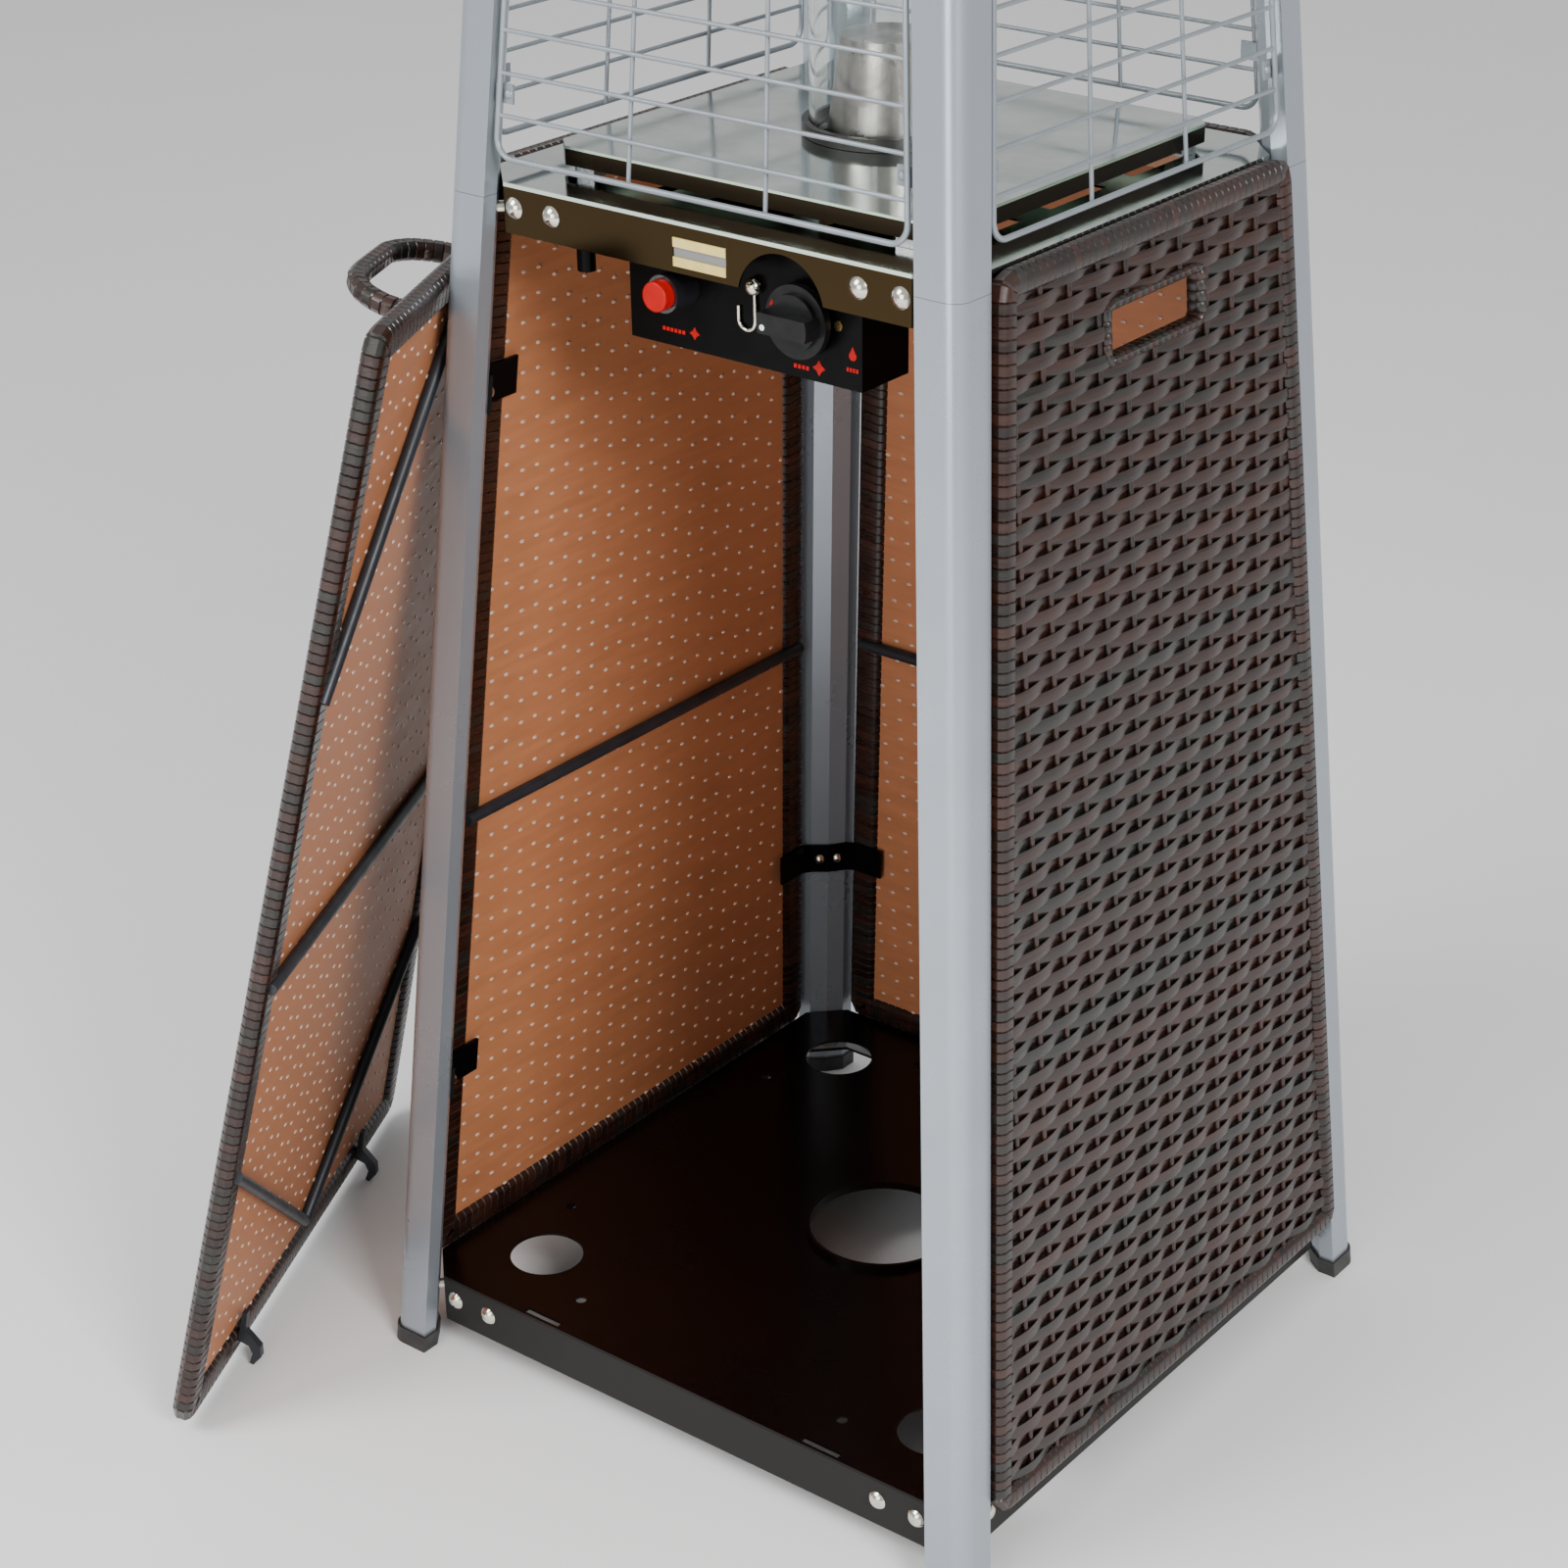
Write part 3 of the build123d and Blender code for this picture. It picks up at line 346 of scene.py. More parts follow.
def woven_finish(name, ramp_colours, rough, streak_scale, streaks, coat):
    """Plastic strip: a colour for each strip from its own tone, with fine streaks along it."""
    material = bpy.data.materials.new(name)
    material.use_nodes = True
    nodes, links = material.node_tree.nodes, material.node_tree.links
    shader = nodes["Principled BSDF"]
    shader.inputs["Coat Weight"].default_value = coat
    shader.inputs["Coat Roughness"].default_value = 0.25
    tone = nodes.new("ShaderNodeAttribute")
    tone.attribute_name = "tone"
    ramp = nodes.new("ShaderNodeValToRGB")
    stops = ramp.color_ramp.elements
    while len(stops) < len(ramp_colours):
        stops.new(0.5)
    for index, (stop, colour) in enumerate(zip(stops, ramp_colours)):
        stop.position = index / (len(ramp_colours) - 1)
        stop.color = (*colour, 1)
    coordinates = nodes.new("ShaderNodeTexCoord")
    mapping = nodes.new("ShaderNodeMapping")
    mapping.inputs["Scale"].default_value = (0.12, 0.12, 1.0)
    mottle = nodes.new("ShaderNodeGroup")
    mottle.node_tree = MOTTLE
    mottle.inputs["Colour A"].default_value = (streaks[0], streaks[0], streaks[0], 1)
    mottle.inputs["Colour B"].default_value = (streaks[1], streaks[1], streaks[1], 1)
    mottle.inputs["Scale"].default_value = streak_scale
    mottle.inputs["Grain"].default_value = streak_scale * 3
    mottle.inputs["Rough A"].default_value = rough[0]
    mottle.inputs["Rough B"].default_value = rough[1]
    tint = nodes.new("ShaderNodeMix")
    tint.data_type = "RGBA"
    tint.blend_type = "MULTIPLY"
    tint.inputs["Factor"].default_value = 1.0
    relief = nodes.new("ShaderNodeBump")
    relief.inputs["Strength"].default_value = 0.25
    relief.inputs["Distance"].default_value = 0.0003
    links.new(coordinates.outputs["Object"], mapping.inputs["Vector"])
    links.new(mapping.outputs["Vector"], mottle.inputs["Vector"])
    links.new(tone.outputs["Fac"], ramp.inputs["Fac"])
    links.new(ramp.outputs["Color"], tint.inputs["A"])
    links.new(mottle.outputs["Colour"], tint.inputs["B"])
    links.new(tint.outputs["Result"], shader.inputs["Base Color"])
    links.new(mottle.outputs["Roughness"], shader.inputs["Roughness"])
    links.new(mottle.outputs["Height"], relief.inputs["Height"])
    links.new(relief.outputs["Normal"], shader.inputs["Normal"])
    return material


def clear_glass(name):
    material = bpy.data.materials.new(name)
    material.use_nodes = True
    nodes, links = material.node_tree.nodes, material.node_tree.links
    shader = nodes["Principled BSDF"]
    shader.inputs["Transmission Weight"].default_value = 1.0
    shader.inputs["IOR"].default_value = 1.45
    coordinates = nodes.new("ShaderNodeTexCoord")
    haze = nodes.new("ShaderNodeGroup")
    haze.node_tree = MOTTLE
    haze.inputs["Colour A"].default_value = (0.97, 0.99, 0.99, 1)
    haze.inputs["Colour B"].default_value = (0.90, 0.94, 0.94, 1)
    haze.inputs["Scale"].default_value = 14
    haze.inputs["Grain"].default_value = 300
    haze.inputs["Rough A"].default_value = 0.01
    haze.inputs["Rough B"].default_value = 0.05
    links.new(coordinates.outputs["Object"], haze.inputs["Vector"])
    links.new(haze.outputs["Colour"], shader.inputs["Base Color"])
    links.new(haze.outputs["Roughness"], shader.inputs["Roughness"])
    return material


# ---------------------------------------------------------------- finishes
WICKER = woven_finish(
    "Dark wicker strip",
    [(0.009, 0.0038, 0.0025), (0.026, 0.0085, 0.0050), (0.008, 0.0044, 0.0032), (0.032, 0.0100, 0.0062),
     (0.012, 0.0076, 0.0056), (0.015, 0.0140, 0.0112)],
    (0.24, 0.36), 260, (0.7, 1.35), 0.12,
)
LINING = woven_finish(
    "Orange brown inner weave",
    [(0.40, 0.150, 0.062), (0.46, 0.178, 0.078)],
    (0.50, 0.62), 150, (0.92, 1.08), 0.05,
)
# Painted shade: a dark sheet on the lining's outer face, so that the gaps in the weave look shaded.
SHADE_BACKING = finish(
    "Painted shade behind the weave", (0.010, 0.006, 0.005), (0.006, 0.004, 0.003),
    60, (0.6, 0.7),
)
# Painted light: the knots' pale colour stands for light showing at the weave's crossings.
KNOTS_PAINTED_LIGHT = finish(
    "Weave knots painted with light", (0.68, 0.50, 0.38), (0.56, 0.38, 0.28),
    500, (0.22, 0.32), coat=0.3,
)
LEG = finish(
    "Silver grey leg enamel", (0.37, 0.41, 0.455), (0.345, 0.38, 0.42),
    9, (0.26, 0.32), 0.6, 1500,
)
SLEEVE = finish(
    "Zinc plate", (0.55, 0.56, 0.56), (0.42, 0.43, 0.44),
    60, (0.28, 0.42), 1.0, 800, 0.05,
)
FOOT = finish(
    "Dark foot plastic", (0.035, 0.033, 0.032), (0.022, 0.021, 0.02),
    80, (0.45, 0.6), 0, 1400, 0.2,
)
TRAY = finish(
    "Black brown tray enamel", (0.0040, 0.0014, 0.0012), (0.0025, 0.0012, 0.0010),
    12, (0.20, 0.28), 0, 700, 0.10, shine=0.18,
)
over(TRAY, (0.011, 0.0105, 0.0095), ("Z", 0.0, 0.0615), rough=0.42)
SCREW = finish(
    "Bright screw plate", (0.80, 0.77, 0.68), (0.62, 0.59, 0.50),
    200, (0.10, 0.22), 1.0, 900, 0.03,
)
DECK = finish(
    "Polished deck steel", (0.62, 0.67, 0.64), (0.52, 0.58, 0.55),
    18, (0.05, 0.13), 1.0, 260, 0.03,
)
# Painted reflection: a dark bronze band on the polished front flange, where it reflects its surroundings.
over(DECK, (0.044, 0.029, 0.013), ("Y", -0.2, -0.1884), ("Z", 0.8, 0.8855), rough=0.16)
# Painted highlight: a pale line along the deck's polished top edge.
over(DECK, (0.72, 0.84, 0.74), ("Y", -0.2, -0.1884), ("Z", 0.8855, 0.889), rough=0.12)
PLATE = finish(
    "Polished burner plate", (0.64, 0.70, 0.67), (0.53, 0.59, 0.56),
    22, (0.06, 0.16), 1.0, 300, 0.03,
)
# Painted reflection: a dark bronze band on the polished flange, where it reflects its surroundings.
over(PLATE, (0.030, 0.021, 0.013), ("Z", 0.88, 0.9042), rough=0.22)
# Painted highlight: a pale line along the plate's polished top edge.
over(PLATE, (0.62, 0.78, 0.60), ("Z", 0.9042, 0.9055), rough=0.15)
ZINC = finish("Zinc tab", (0.62, 0.63, 0.63), (0.50, 0.51, 0.52), 120, (0.22, 0.36), 1.0, 700, 0.05)
FRAME_BAR = finish(
    "Blue black frame paint", (0.016, 0.020, 0.027), (0.011, 0.013, 0.017),
    60, (0.38, 0.48), 0, 1200, 0.1,
)
BLACK_STEEL = finish(
    "Black box paint", (0.0020, 0.0019, 0.0020), (0.0012, 0.0012, 0.0013),
    50, (0.30, 0.40), 0, 1300, 0.12, shine=0.09,
)
KNOB = finish(
    "Black knob plastic", (0.008, 0.0082, 0.0088), (0.005, 0.005, 0.0055),
    120, (0.30, 0.40), 0, 1500, 0.1, shine=0.25,
)
RED = finish(
    "Red button plastic", (0.40, 0.0006, 0.0006), (0.34, 0.0005, 0.0005),
    90, (0.30, 0.38), 0, 900, 0.03, shine=0.2,
)
RED_MARK = finish(
    "Red print", (0.42, 0.0008, 0.0008), (0.36, 0.0006, 0.0006),
    300, (0.40, 0.5), shine=0.2,
)
WHITE_MARK = finish("White print", (0.85, 0.85, 0.88), (0.75, 0.75, 0.78), 300, (0.40, 0.5))
BEZEL = finish(
    "Dark igniter barrel", (0.012, 0.012, 0.016), (0.008, 0.008, 0.010),
    150, (0.10, 0.18), 0, 900, 0.03, coat=0.6,
)
BRASS = finish(
    "Machined brass", (0.72, 0.50, 0.20), (0.60, 0.40, 0.15),
    120, (0.20, 0.32), 1.0, 900, 0.05,
)
ALLOY = finish(
    "Cast alloy", (0.45, 0.45, 0.45), (0.36, 0.36, 0.36),
    90, (0.40, 0.55), 1.0, 700, 0.3,
)
BURNER = finish(
    "Heat tinted steel", (0.45, 0.42, 0.38), (0.30, 0.27, 0.25),
    40, (0.25, 0.40), 1.0, 800, 0.08,
)
DARK_RING = finish(
    "Dark seat ring", (0.035, 0.034, 0.032), (0.022, 0.021, 0.02),
    70, (0.30, 0.42), 0.4, 1000, 0.1,
)
GUARD = finish(
    "Light grey wire enamel", (0.27, 0.30, 0.33), (0.235, 0.26, 0.285),
    40, (0.30, 0.40), 0.35, 1200, 0.05,
)
REFLECTOR = finish(
    "Satin aluminium", (0.72, 0.73, 0.74), (0.64, 0.65, 0.66),
    12, (0.28, 0.38), 1.0, 700, 0.04,
)
CATCH = finish(
    "Cream catch plate", (0.74, 0.60, 0.20), (0.66, 0.52, 0.16),
    90, (0.30, 0.42), 0.1, 900, 0.05,
)
over(CATCH, (0.20, 0.20, 0.20), ("Z", 0.8659, 0.8721))
GLASS = clear_glass("Clear tube glass")


# ---------------------------------------------------------------- wicker panels
def half_width(up, inset=0.0):
    """Half of a panel's width at a height along its face."""
    return PANEL_FOOT_HALF + (PANEL_HEAD_HALF - PANEL_FOOT_HALF) * up / PANEL_RISE - inset


def trim_sides(piece, inset):
    """Cut a mesh off along the panel's two slanting edges."""
    slope = (PANEL_FOOT_HALF - PANEL_HEAD_HALF) / PANEL_RISE
    for sign in (-1, 1):
        cut(piece, (sign * half_width(0, inset), 0, 0), (sign, 0, slope))


def cut_slot(piece, slot):
    """Take the hand slot out of a sheet, along all four of its edges."""
    low, high = slot
    for point, normal in (((-SLOT_HALF, 0, 0), (1, 0, 0)), ((SLOT_HALF, 0, 0), (1, 0, 0)),
                          ((0, 0, low), (0, 0, 1)), ((0, 0, high), (0, 0, 1))):
        cut(piece, point, normal, clear=False)
    delete_faces(piece, lambda co: abs(co.x) < SLOT_HALF and low < co.z < high)


def give_tone(piece, key, seed, choices):
    """Store a steady random tone on every vertex, chosen by the strip that it belongs to."""
    dice = random.Random(seed)
    tones = [dice.random() for _ in range(choices)]
    layer = piece.data.attributes.new("tone", "FLOAT", "POINT")
    for vertex in piece.data.vertices:
        layer.data[vertex.index].value = tones[key(vertex.co) % choices]


def strip_row(name):
    """One flat strip that swings in front of and behind the stakes in turn."""
    stakes = 2 * math.ceil(PANEL_FOOT_HALF / STAKE_PITCH)
    length = stakes * STAKE_PITCH
    deselect()
    bpy.ops.mesh.primitive_grid_add(x_subdivisions=stakes * STEPS, y_subdivisions=2, size=1)
    strip = named(name)
    strip.scale = (length, STRIP_HEIGHT, 1)
    strip.rotation_euler = (math.pi / 2, 0, 0)
    settle(strip)
    step = STAKE_PITCH / STEPS
    for phase in range(2 * STEPS):
        swing = WAVE * math.cos(math.pi * phase / STEPS)
        shift_where(strip, lambda co: round(co.x / step) % (2 * STEPS) == phase, (0, swing, 0))
    shift_where(strip, lambda co: abs(co.z) < STRIP_HEIGHT / 4, (0, -STRIP_CROWN, 0))
    return strip


def weave(name, seed, slot):
    rows = int(PANEL_RISE / ROW_PITCH / 2)
    even = strip_row(name)
    odd = copy_of(even, "odd_rows")
    odd.location = (STAKE_PITCH, 0, ROW_PITCH)
    settle(odd)
    for strips in (even, odd):
        repeat(strips, (0, 0, 2 * ROW_PITCH), rows)
    join(even, odd)
    even.location = (0, STAKE_DEPTH, ROW_PITCH)
    settle(even)
    trim_sides(even, BORDER * WEAVE_INSET)
    if slot:
        cut_slot(even, slot)
    give_tone(even, lambda co: int(co.z / ROW_PITCH + 0.5), seed, 97)
    body = even.modifiers.new("Body", "SOLIDIFY")
    body.thickness = STRIP_THICK
    body.offset = 0
    apply_modifiers(even)
    pick(even)
    bpy.ops.object.shade_smooth_by_angle(angle=SMOOTH_ANGLE)
    stakes = stake_rods("stakes", slot)
    give_tone(stakes, lambda co: int(co.x / STAKE_PITCH + 100), seed + 1, 31)
    return join(even, stakes)


def stake_rods(name, slot):
    count = 2 * int(PANEL_FOOT_HALF / STAKE_PITCH) + 1
    deselect()
    first = (-(count - 1) / 2 * STAKE_PITCH, STAKE_DEPTH, PANEL_RISE / 2)
    bpy.ops.mesh.primitive_cylinder_add(vertices=10, radius=STAKE_R, depth=PANEL_RISE - BORDER,
                                        location=first)
    rod = named(name)
    settle(rod)
    repeat(rod, (STAKE_PITCH, 0, 0), count)
    trim_sides(rod, BORDER * STAKE_INSET)
    if slot:
        low, high = slot
        for z in (low, high):
            cut(rod, (0, 0, z), (0, 0, 1), clear=False)
        delete_faces(rod, lambda co: abs(co.x) < SLOT_HALF and low < co.z < high)
    pick(rod)
    bpy.ops.object.shade_smooth_by_angle(angle=SMOOTH_ANGLE)
    return rod


def rounded_path(corners, radius, steps=5):
    """A closed path through corners, each rounded by an arc."""
    points = []
    count = len(corners)
    for index, corner in enumerate(corners):
        corner = Vector(corner)
        before = (Vector(corners[index - 1]) - corner).normalized()
        after = (Vector(corners[(index + 1) % count]) - corner).normalized()
        angle = before.angle(after)
        reach = radius / math.tan(angle / 2)
        centre = corner + (before + after).normalized() * radius / math.sin(angle / 2)
        start, end = corner + before * reach - centre, corner + after * reach - centre
        turn = start.angle(end)
        for step in range(steps + 1):
            share = step / steps
            points.append(centre + (start * math.sin((1 - share) * turn) + end * math.sin(share * turn))
                          / math.sin(turn))
    return points


def wrapped(name, points, closed, half_flat, half_deep, seed, lip=0.0):
    """A core wound round and round with strip: one turn's band repeated along a path.

    The path lies level; half_flat is across it, half_deep is upwards, and a lip
    widens the underside to the path's left."""
    line = bpy.data.curves.new(name + "_line", "CURVE")
    line.dimensions = "3D"
    line.twist_mode = "Z_UP"
    spline = line.splines.new("POLY")
    spline.points.add(len(points) - 1)
    for point, co in zip(spline.points, points):
        point.co = (*co, 1)
    spline.use_cyclic_u = closed
    guide = bpy.data.objects.new(name + "_line", line)
    bpy.context.collection.objects.link(guide)
    length = spline.calc_length()
    turns = max(1, round(length / WRAP))
    turn = length / turns
    deselect()
    bpy.ops.mesh.primitive_cylinder_add(vertices=16, radius=1, depth=turn, end_fill_type="NOTHING")
    roll = named(name)
    roll.rotation_euler = (0, math.pi / 2, 0)
    settle(roll)
    for x in (-SEAM_START, SEAM_START):
        cut(roll, (x * turn, 0, 0), (1, 0, 0), clear=False)
    select_where(roll, lambda co: abs(co.x) > SEAM_END * turn)
    bpy.ops.transform.resize(value=(1, SEAM_SIZE, SEAM_SIZE))
    bpy.ops.object.mode_set(mode="OBJECT")
    select_where(roll, lambda co: abs(co.y) > CORNER_FROM and abs(co.z) > CORNER_FROM)
    bpy.ops.transform.resize(value=(1, CORNER_SIZE, CORNER_SIZE), center_override=(0, 0, 0))
    bpy.ops.object.mode_set(mode="OBJECT")
    roll.scale = (1, half_flat, half_deep)
    roll.location = (turn / 2, 0, 0)
    settle(roll)
    if lip:
        shift_where(roll, lambda co: co.y > LIP_FROM * half_flat and co.z < -LIP_FROM * half_deep, (0, lip, 0))
    repeat(roll, (turn, 0, 0), turns)
    give_tone(roll, lambda co: int(co.x / turn), seed, 89)
    bend = roll.modifiers.new("Bend", "CURVE")
    bend.object = guide
    bend.deform_axis = "POS_X"
    apply_modifiers(roll)
    bpy.data.objects.remove(guide)
    pick(roll)
    bpy.ops.object.mode_set(mode="EDIT")
    bpy.ops.mesh.select_all(action="SELECT")
    bpy.ops.mesh.remove_doubles(threshold=0.00005)
    bpy.ops.object.mode_set(mode="OBJECT")
    bpy.ops.object.shade_smooth_by_angle(angle=WRAP_SMOOTH_ANGLE)
    return roll


def stand_up(piece):
    """Turn a piece made lying down so that its top faces outdoors."""
    piece.rotation_euler = (math.pi / 2, 0, 0)
    settle(piece)
    return piece


def border(name, seed):
    inset = BORDER / 2
    corners = [(-half_width(0, inset), inset, 0), (half_width(0, inset), inset, 0),
               (half_width(PANEL_RISE, inset), PANEL_RISE - inset, 0),
               (-half_width(PANEL_RISE, inset), PANEL_RISE - inset, 0)]
    path = rounded_path(corners, PANEL_CORNER - inset)
    roll = wrapped(name, path, True, BORDER / 2, PANEL_HALF_THICK, seed, INNER_BORDER - BORDER)
    return stand_up(roll)


def lining(name, seed, slot):
    """The inner face of the weave: a close brown sheet with pairs of knots, painted pale as light showing at
    the weave's crossings; its outer face is painted shade.
    """
    inset = BORDER * LINING_INSET
    deselect()
    bpy.ops.mesh.primitive_plane_add(size=1)
    sheet = named(name)
    sheet.scale = (2 * PANEL_FOOT_HALF, PANEL_RISE - 2 * inset, 1)
    sheet.rotation_euler = (math.pi / 2, 0, 0)
    sheet.location = (0, LINING_DEPTH - LINING_THICK / 2, PANEL_RISE / 2)
    settle(sheet)
    trim_sides(sheet, inset)
    if slot:
        cut_slot(sheet, slot)
    give_tone(sheet, lambda co: 0, seed, 1)
    # The outer face is painted shade, seen through the weave's gaps; the inner face is the orange lining.
    paint(sheet, SHADE_BACKING, LINING)
    body = sheet.modifiers.new("Body", "SOLIDIFY")
    body.thickness = LINING_THICK
    body.offset = 0
    body.material_offset = 1
    body.material_offset_rim = 1
    apply_modifiers(sheet)
    knots = knot_rows("knots", slot)
    give_tone(knots, lambda co: 0, seed, 1)
    # The knots' pale colour is painted light at the weave's crossings.
    paint(knots, KNOTS_PAINTED_LIGHT)
    return join(sheet, knots)


def knot_rows(name, slot):
    deselect()
    bpy.ops.mesh.primitive_ico_sphere_add(subdivisions=1, radius=1)
    knot = named(name)
    knot.scale = KNOT_RADII
    knot.location = (-KNOT_PAIR / 2, LINING_DEPTH, 0)
    settle(knot)
    corner_count = len(knot.data.vertices)
    repeat(knot, (KNOT_PAIR, 0, 0), 2)
    across = 2 * math.ceil(PANEL_FOOT_HALF / STAKE_PITCH / 2)
    repeat(knot, (2 * STAKE_PITCH, 0, 0), across)
    second = copy_of(knot, "second_rows")
    second.location = (STAKE_PITCH, 0, ROW_PITCH)
    settle(second)
    rows = int((PANEL_RISE - 2 * BORDER) / ROW_PITCH / 2)
    for part in (knot, second):
        repeat(part, (0, 0, 2 * ROW_PITCH), rows)
    join(knot, second)
    knot.location = (-across * STAKE_PITCH + STAKE_PITCH, 0, KNOT_START)
    settle(knot)
    points = knot.data.vertices
    inset = INNER_BORDER + 0.001
    for start in range(0, len(points), corner_count):
        group = [points[index] for index in range(start, start + corner_count)]
        middle = sum((point.co for point in group), Vector()) / corner_count
        outside = abs(middle.x) > half_width(middle.z, inset)
        if slot:
            low, high = slot
            room_x, room_z = KNOT_ROOM
            beside = abs(middle.x) < SLOT_HALF + room_x
            outside = outside or (beside and low - room_z < middle.z < high + room_z)
        for point in group:
            point.select = outside
    chosen = {point.index for point in points if point.select}
    pick(knot)
    bpy.ops.object.mode_set(mode="EDIT")
    bpy.ops.mesh.select_all(action="DESELECT")
    bpy.ops.object.mode_set(mode="OBJECT")
    for index in chosen:
        points[index].select = True
    bpy.ops.object.mode_set(mode="EDIT")
    bpy.ops.mesh.delete(type="VERT")
    bpy.ops.object.mode_set(mode="OBJECT")
    pick(knot)
    bpy.ops.object.shade_smooth()
    return knot


def slot_rim(name, slot, seed):
    low, high = slot
    half = SLOT_HALF + RIM_OUT
    corners = [(-half, low - RIM_OUT, 0), (half, low - RIM_OUT, 0),
               (half, high + RIM_OUT, 0), (-half, high + RIM_OUT, 0)]
    path = rounded_path(corners, RIM_CORNER, RIM_CORNER_STEPS)
    return stand_up(wrapped(name, path, True, RIM_HALF_FLAT, RIM_HALF_DEEP, seed))


def wicker_panel(node, body, matrix, seed, slot=None):
    pieces = [weave(f"{node}_weave", seed, slot), border(f"{node}_border", seed + 2)]
    for piece in pieces:
        paint(piece, WICKER)
    pieces.append(lining(f"{node}_lining", seed + 3, slot))
    if slot:
        rim = slot_rim(f"{node}_slot_rim", slot, seed + 4)
        paint(rim, WICKER)
        pieces.append(rim)
    for piece in pieces:
        place(piece, matrix)
        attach(piece, body)
    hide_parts(node)


def up_panel(z):
    return (z - PANEL_FOOT) / math.cos(LEAN)


UPRIGHT = Matrix.Translation((0, -FOOT_FACE, PANEL_FOOT)) @ Matrix.Rotation(-LEAN, 4, "X")
for node, turn, seed, slot in (("right_panel_wicker", 90, 11, (up_panel(SLOT_LOW), up_panel(SLOT_HIGH))),
                               ("back_panel_wicker", 180, 21, None), ("left_panel_wicker", 270, 31, None)):
    wicker_panel(node, "heater", Matrix.Rotation(math.radians(turn), 4, "Z") @ UPRIGHT, seed, slot)

hinge = next(joint for joint in frame["joints"] if joint["name"] == "door_tip")
across = Vector(hinge["axis"]).normalized()
DOOR_LEAN = math.radians(13.2)
TOE_DEPTH, TOE_DROP = 0.022, 0.005   # from the door's foot to the hooks' toes that it rests on
up = Vector((-across.y * math.sin(DOOR_LEAN), across.x * math.sin(DOOR_LEAN), math.cos(DOOR_LEAN)))
inward = up.cross(across)
DOOR = Matrix((across, inward, up)).transposed().to_4x4()
DOOR.translation = Vector(hinge["pos_m"]) - inward * TOE_DEPTH + up * TOE_DROP
wicker_panel("door_wicker", "door", DOOR, 41)


def handle_path():
    """The door handle's loop, outwards from the wicker and back."""
    points = [Vector((-HANDLE_HALF, HANDLE_ROOT, HANDLE_UP))]
    reach = -PANEL_HALF_THICK - HANDLE_REACH + HANDLE_BEND
    for sign, angles in ((-1, range(180, 269, 15)), (1, range(270, 361, 15))):
        centre = Vector((sign * (HANDLE_HALF - HANDLE_BEND), reach, HANDLE_UP))
        for angle in angles:
            turn = math.radians(angle)
            points.append(centre + Vector((math.cos(turn), math.sin(turn), 0)) * HANDLE_BEND)
    points.append(Vector((HANDLE_HALF, HANDLE_ROOT, HANDLE_UP)))
    return points


handle = wrapped("door_handle_wrap", handle_path(), False, HANDLE_R, HANDLE_R, 51)
paint(handle, WICKER)
place(handle, DOOR)
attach(handle, "door")
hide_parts("door_handle")


# ---------------------------------------------------------------- printed marks, a dot and a pointer
BOX_FRONT = -0.1651
GRIP_FRONT = -0.19
MARK_EDGE, DOT_EDGE = 0.00008, 0.0001    # bevels
MARK_THICK = 0.0004


def disc(name, place_at, radius, corners=24):
    """A thin plate facing the front."""
    deselect()
    bpy.ops.mesh.primitive_cylinder_add(vertices=corners, radius=radius, depth=MARK_THICK,
                                        rotation=(math.pi / 2, 0, 0), location=place_at)
    plate = named(name)
    settle(plate)
    return plate


def soften(piece, width):
    edge = piece.modifiers.new("Edge", "BEVEL")
    edge.width = width
    edge.segments = 2
    edge.limit_method = "ANGLE"
    apply_modifiers(piece)


def burst(name, x, z, radius):
    """A four-pointed spark mark."""
    mark = disc(name, (x, BOX_FRONT, z), radius, 8)
    for quarter in range(4):
        angle = math.radians(45 + 90 * quarter)
        spot = Vector((x + radius * math.sin(angle), BOX_FRONT, z + radius * math.cos(angle)))
        pull = (Vector((x, BOX_FRONT, z)) - spot) * 0.45
        shift_where(mark, lambda co: math.hypot(co.x - spot.x, co.z - spot.z) < radius * 0.2, pull)
    soften(mark, MARK_EDGE)
    return mark


def flame(name, x, z, radius):
    """A drop-shaped flame mark."""
    mark = disc(name, (x, BOX_FRONT, z), radius, 16)
    shift_where(mark, lambda co: co.z > z + 0.95 * radius, (0, 0, 1.1 * radius))
    shift_where(mark, lambda co: z + 0.8 * radius < co.z < z + 0.95 * radius, (0, 0, 0.35 * radius))
    soften(mark, MARK_EDGE)
    return mark


def dashes(name, x, z, width, count, height):
    """A short row of bars, in place of words."""
    pitch = width / count
    deselect()
    bpy.ops.mesh.primitive_cube_add(size=1, location=(x - width / 2 + pitch / 2, BOX_FRONT, z))
    bar = named(name)
    bar.scale = (pitch * 0.7, MARK_THICK, height)
    settle(bar)
    soften(bar, MARK_EDGE)
    repeat(bar, (pitch, 0, 0), count)
    return bar


marks = [
    burst("spark_mark_left", -0.0262, 0.8096, 0.0042),
    dashes("dashes_left", -0.0430, 0.8086, 0.019, 6, 0.0024),
    burst("spark_mark_right", 0.0717, 0.8073, 0.0050),
    dashes("dashes_right", 0.0581, 0.8055, 0.0125, 4, 0.0026),
    flame("flame_mark", 0.0974, 0.8200, 0.0029),
    dashes("dashes_flame", 0.0972, 0.8112, 0.0095, 4, 0.0026),
]
for mark in marks:
    paint(mark, RED_MARK)
    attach(mark, "heater")

dot = disc("grip_dot", (0.0475, GRIP_FRONT, 0.8345), 0.0019)
soften(dot, DOT_EDGE)
paint(dot, WHITE_MARK)
pointer = disc("knob_pointer", (0.0445, -0.1761, 0.8455), 0.0026, 3)
soften(pointer, DOT_EDGE)
paint(pointer, RED_MARK)
for piece, slot_name in ((dot, "catch"), (pointer, "red_plastic")):
    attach(piece, "control_knob")


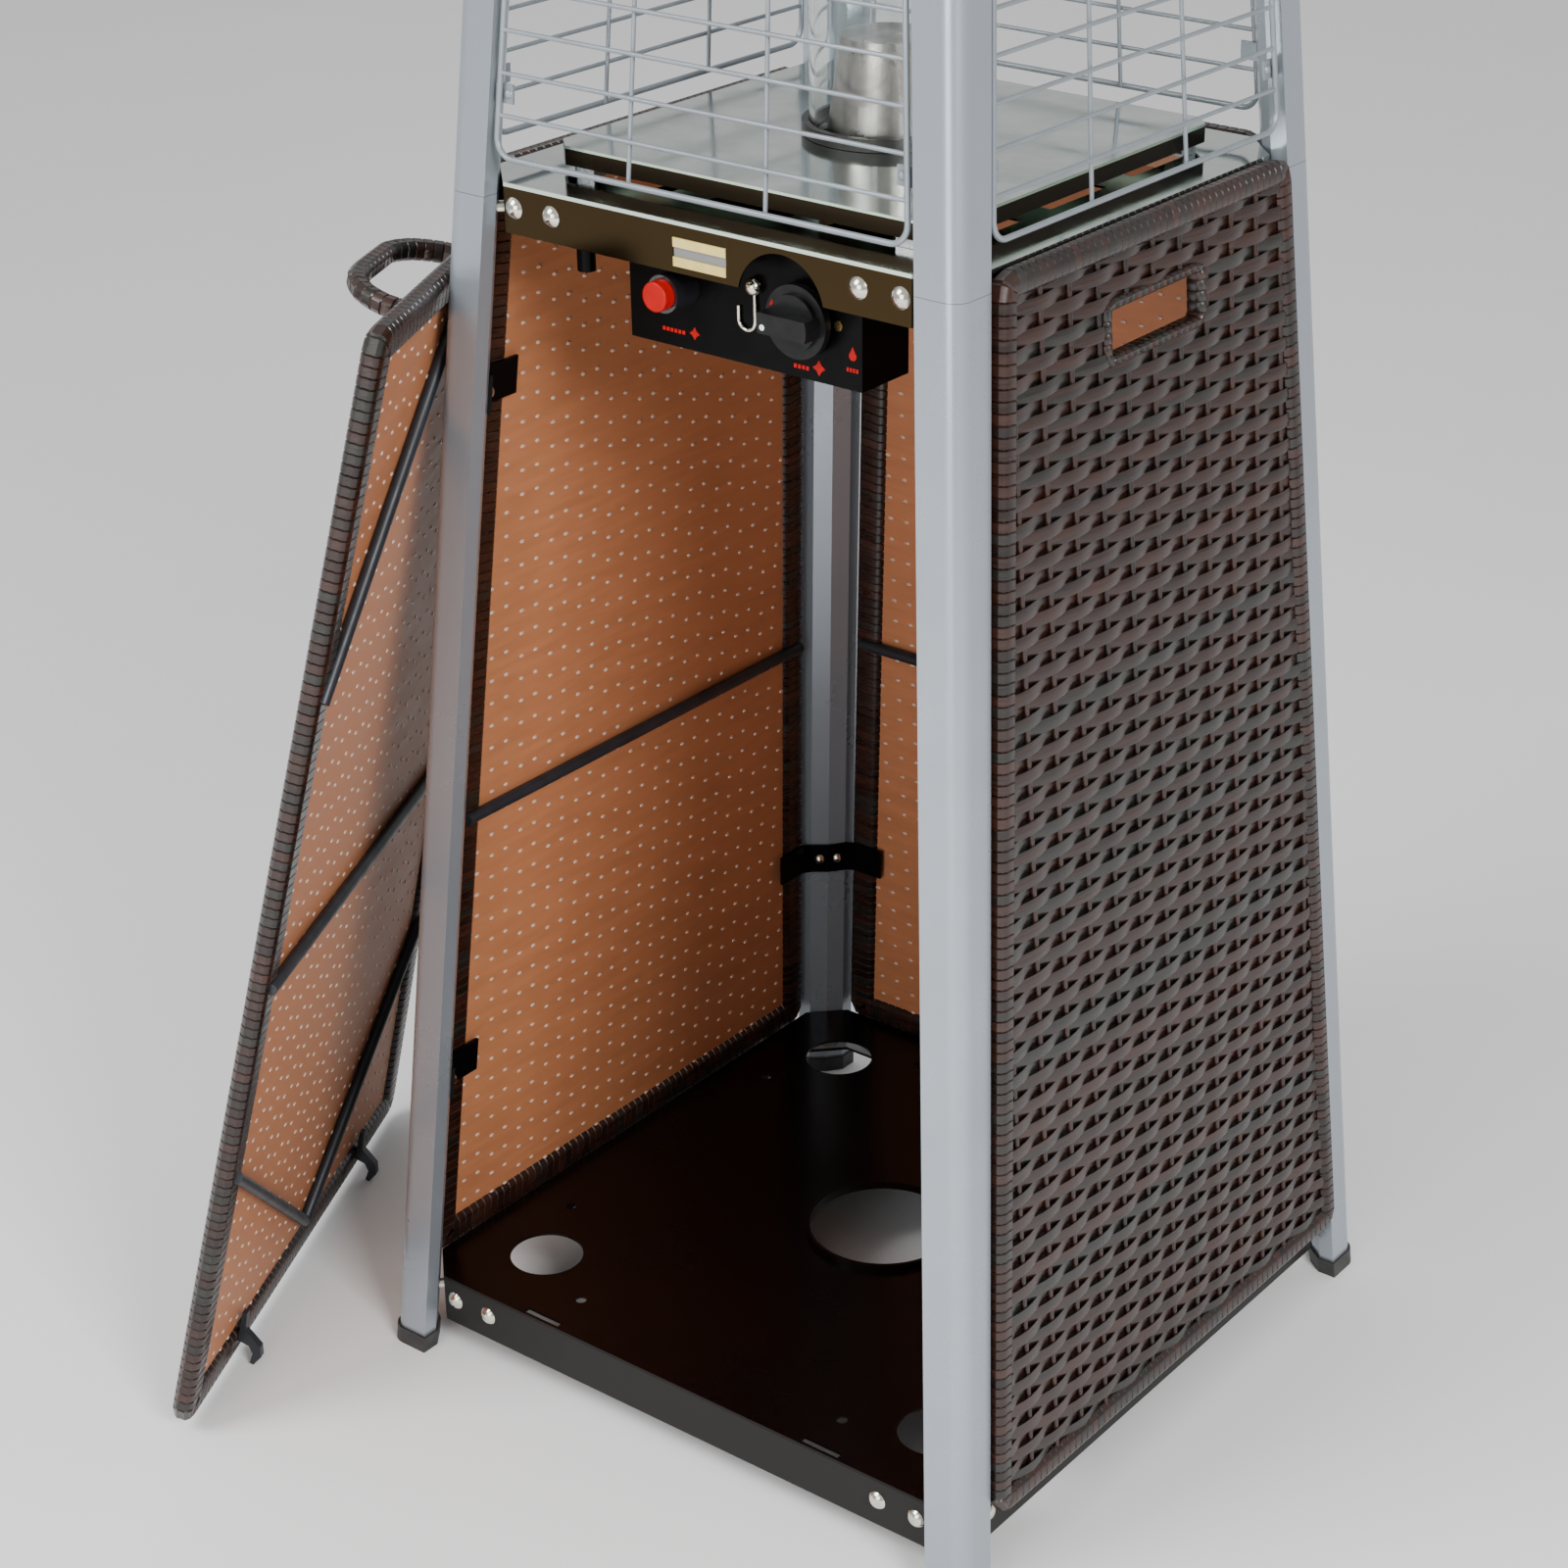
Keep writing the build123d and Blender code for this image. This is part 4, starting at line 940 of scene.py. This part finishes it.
# ---------------------------------------------------------------- finishes on the CAD pieces
FINISH_OF = {
    LEG: ["lower_leg_", "upper_leg_"],
    SLEEVE: ["leg_sleeves", "deck_corner_brackets", "tray_corner_brackets"],
    FOOT: ["foot_caps"],
    TRAY: ["base_tray"],
    SCREW: ["dome_screws", "corner_bolts", "clip_screws", "door_strike_screw", "hook_screw", "match_hook",
            "reflector_nuts", "reflector_posts"],
    DECK: ["deck"],
    PLATE: ["burner_plate"],
    ZINC: ["burner_plate_feet"],
    FRAME_BAR: ["left_panel_frame", "right_panel_frame", "back_panel_frame", "door_frame", "door_hooks"],
    BLACK_STEEL: ["panel_clips", "control_box", "tilt_switch"],
    KNOB: ["control_knob"],
    RED: ["igniter_button"],
    BEZEL: ["igniter_body"],
    BRASS: ["gas_inlet", "idle_screw"],
    ALLOY: ["gas_valve", "valve_stem"],
    BURNER: ["burner", "burner_pipe", "flame_screen", "pilot_and_probe"],
    DARK_RING: ["glass_seat_ring", "glass_top_collar"],
    GLASS: ["glass_tube"],
    GUARD: ["front_guard", "right_guard", "back_guard", "left_guard", "guard_clips"],
    REFLECTOR: ["top_plate", "reflector"],
    CATCH: ["magnet_catch"],
}
for material, starts in FINISH_OF.items():
    for start in starts:
        for node, piece in frame["nodes"].items():
            if node == start or (start.endswith("_") and node.startswith(start)):
                for slot_index in range(len(piece.material_slots)):
                    piece.material_slots[slot_index].material = material


# ---------------------------------------------------------------- floor, light and camera
WORLD_STRENGTH = 0.62
# name, place, what it points at, size and power in watts
LIGHTS = [
    ("key", (-1.6, -3.0, 3.2), (0, 0, 0.7), 2.0, 130),
    ("fill", (3.0, -1.5, 2.4), (0, 0, 0.7), 1.2, 120),
    ("front", (0.4, -3.2, 1.2), (0, 0, 0.5), 1.6, 35),
]
CAMERA_PLACE = (1.2285, -1.6544, 1.4446)
AZIMUTH, ELEVATION, ROLL = 36.42, 29.235, 0.3
LENS, SHIFT_X, SHIFT_Y = 73.94, -0.0694, 0.1180


def area_light(name, place_at, target, size, power):
    light = bpy.data.lights.new(name, "AREA")
    light.shape = "SQUARE"
    light.size = size
    light.energy = power
    lamp = bpy.data.objects.new(name, light)
    lamp.location = place_at
    lamp.rotation_euler = (Vector(target) - Vector(place_at)).to_track_quat("-Z", "Y").to_euler()
    bpy.context.collection.objects.link(lamp)


deselect()
bpy.ops.mesh.primitive_plane_add(size=14)
floor = named("floor")
paint(floor, finish("Pale floor", (0.95, 0.95, 0.95), (0.93, 0.93, 0.93), 3, (0.7, 0.8)))

world = bpy.data.worlds.new("Studio")
world.use_nodes = True
world.node_tree.nodes["Background"].inputs["Color"].default_value = (1, 1, 1, 1)
world.node_tree.nodes["Background"].inputs["Strength"].default_value = WORLD_STRENGTH
bpy.context.scene.world = world
for light in LIGHTS:
    area_light(*light)

camera_data = bpy.data.cameras.new("camera")
camera_data.sensor_width = 36.0
camera_data.lens = LENS
camera_data.shift_x = SHIFT_X
camera_data.shift_y = SHIFT_Y
camera = bpy.data.objects.new("camera", camera_data)
camera.location = CAMERA_PLACE
view = Euler((math.radians(90 - ELEVATION), 0, math.radians(AZIMUTH))).to_matrix()
camera.rotation_euler = (view @ Matrix.Rotation(math.radians(ROLL), 3, "Z")).to_euler()
bpy.context.collection.objects.link(camera)
bpy.context.scene.camera = camera
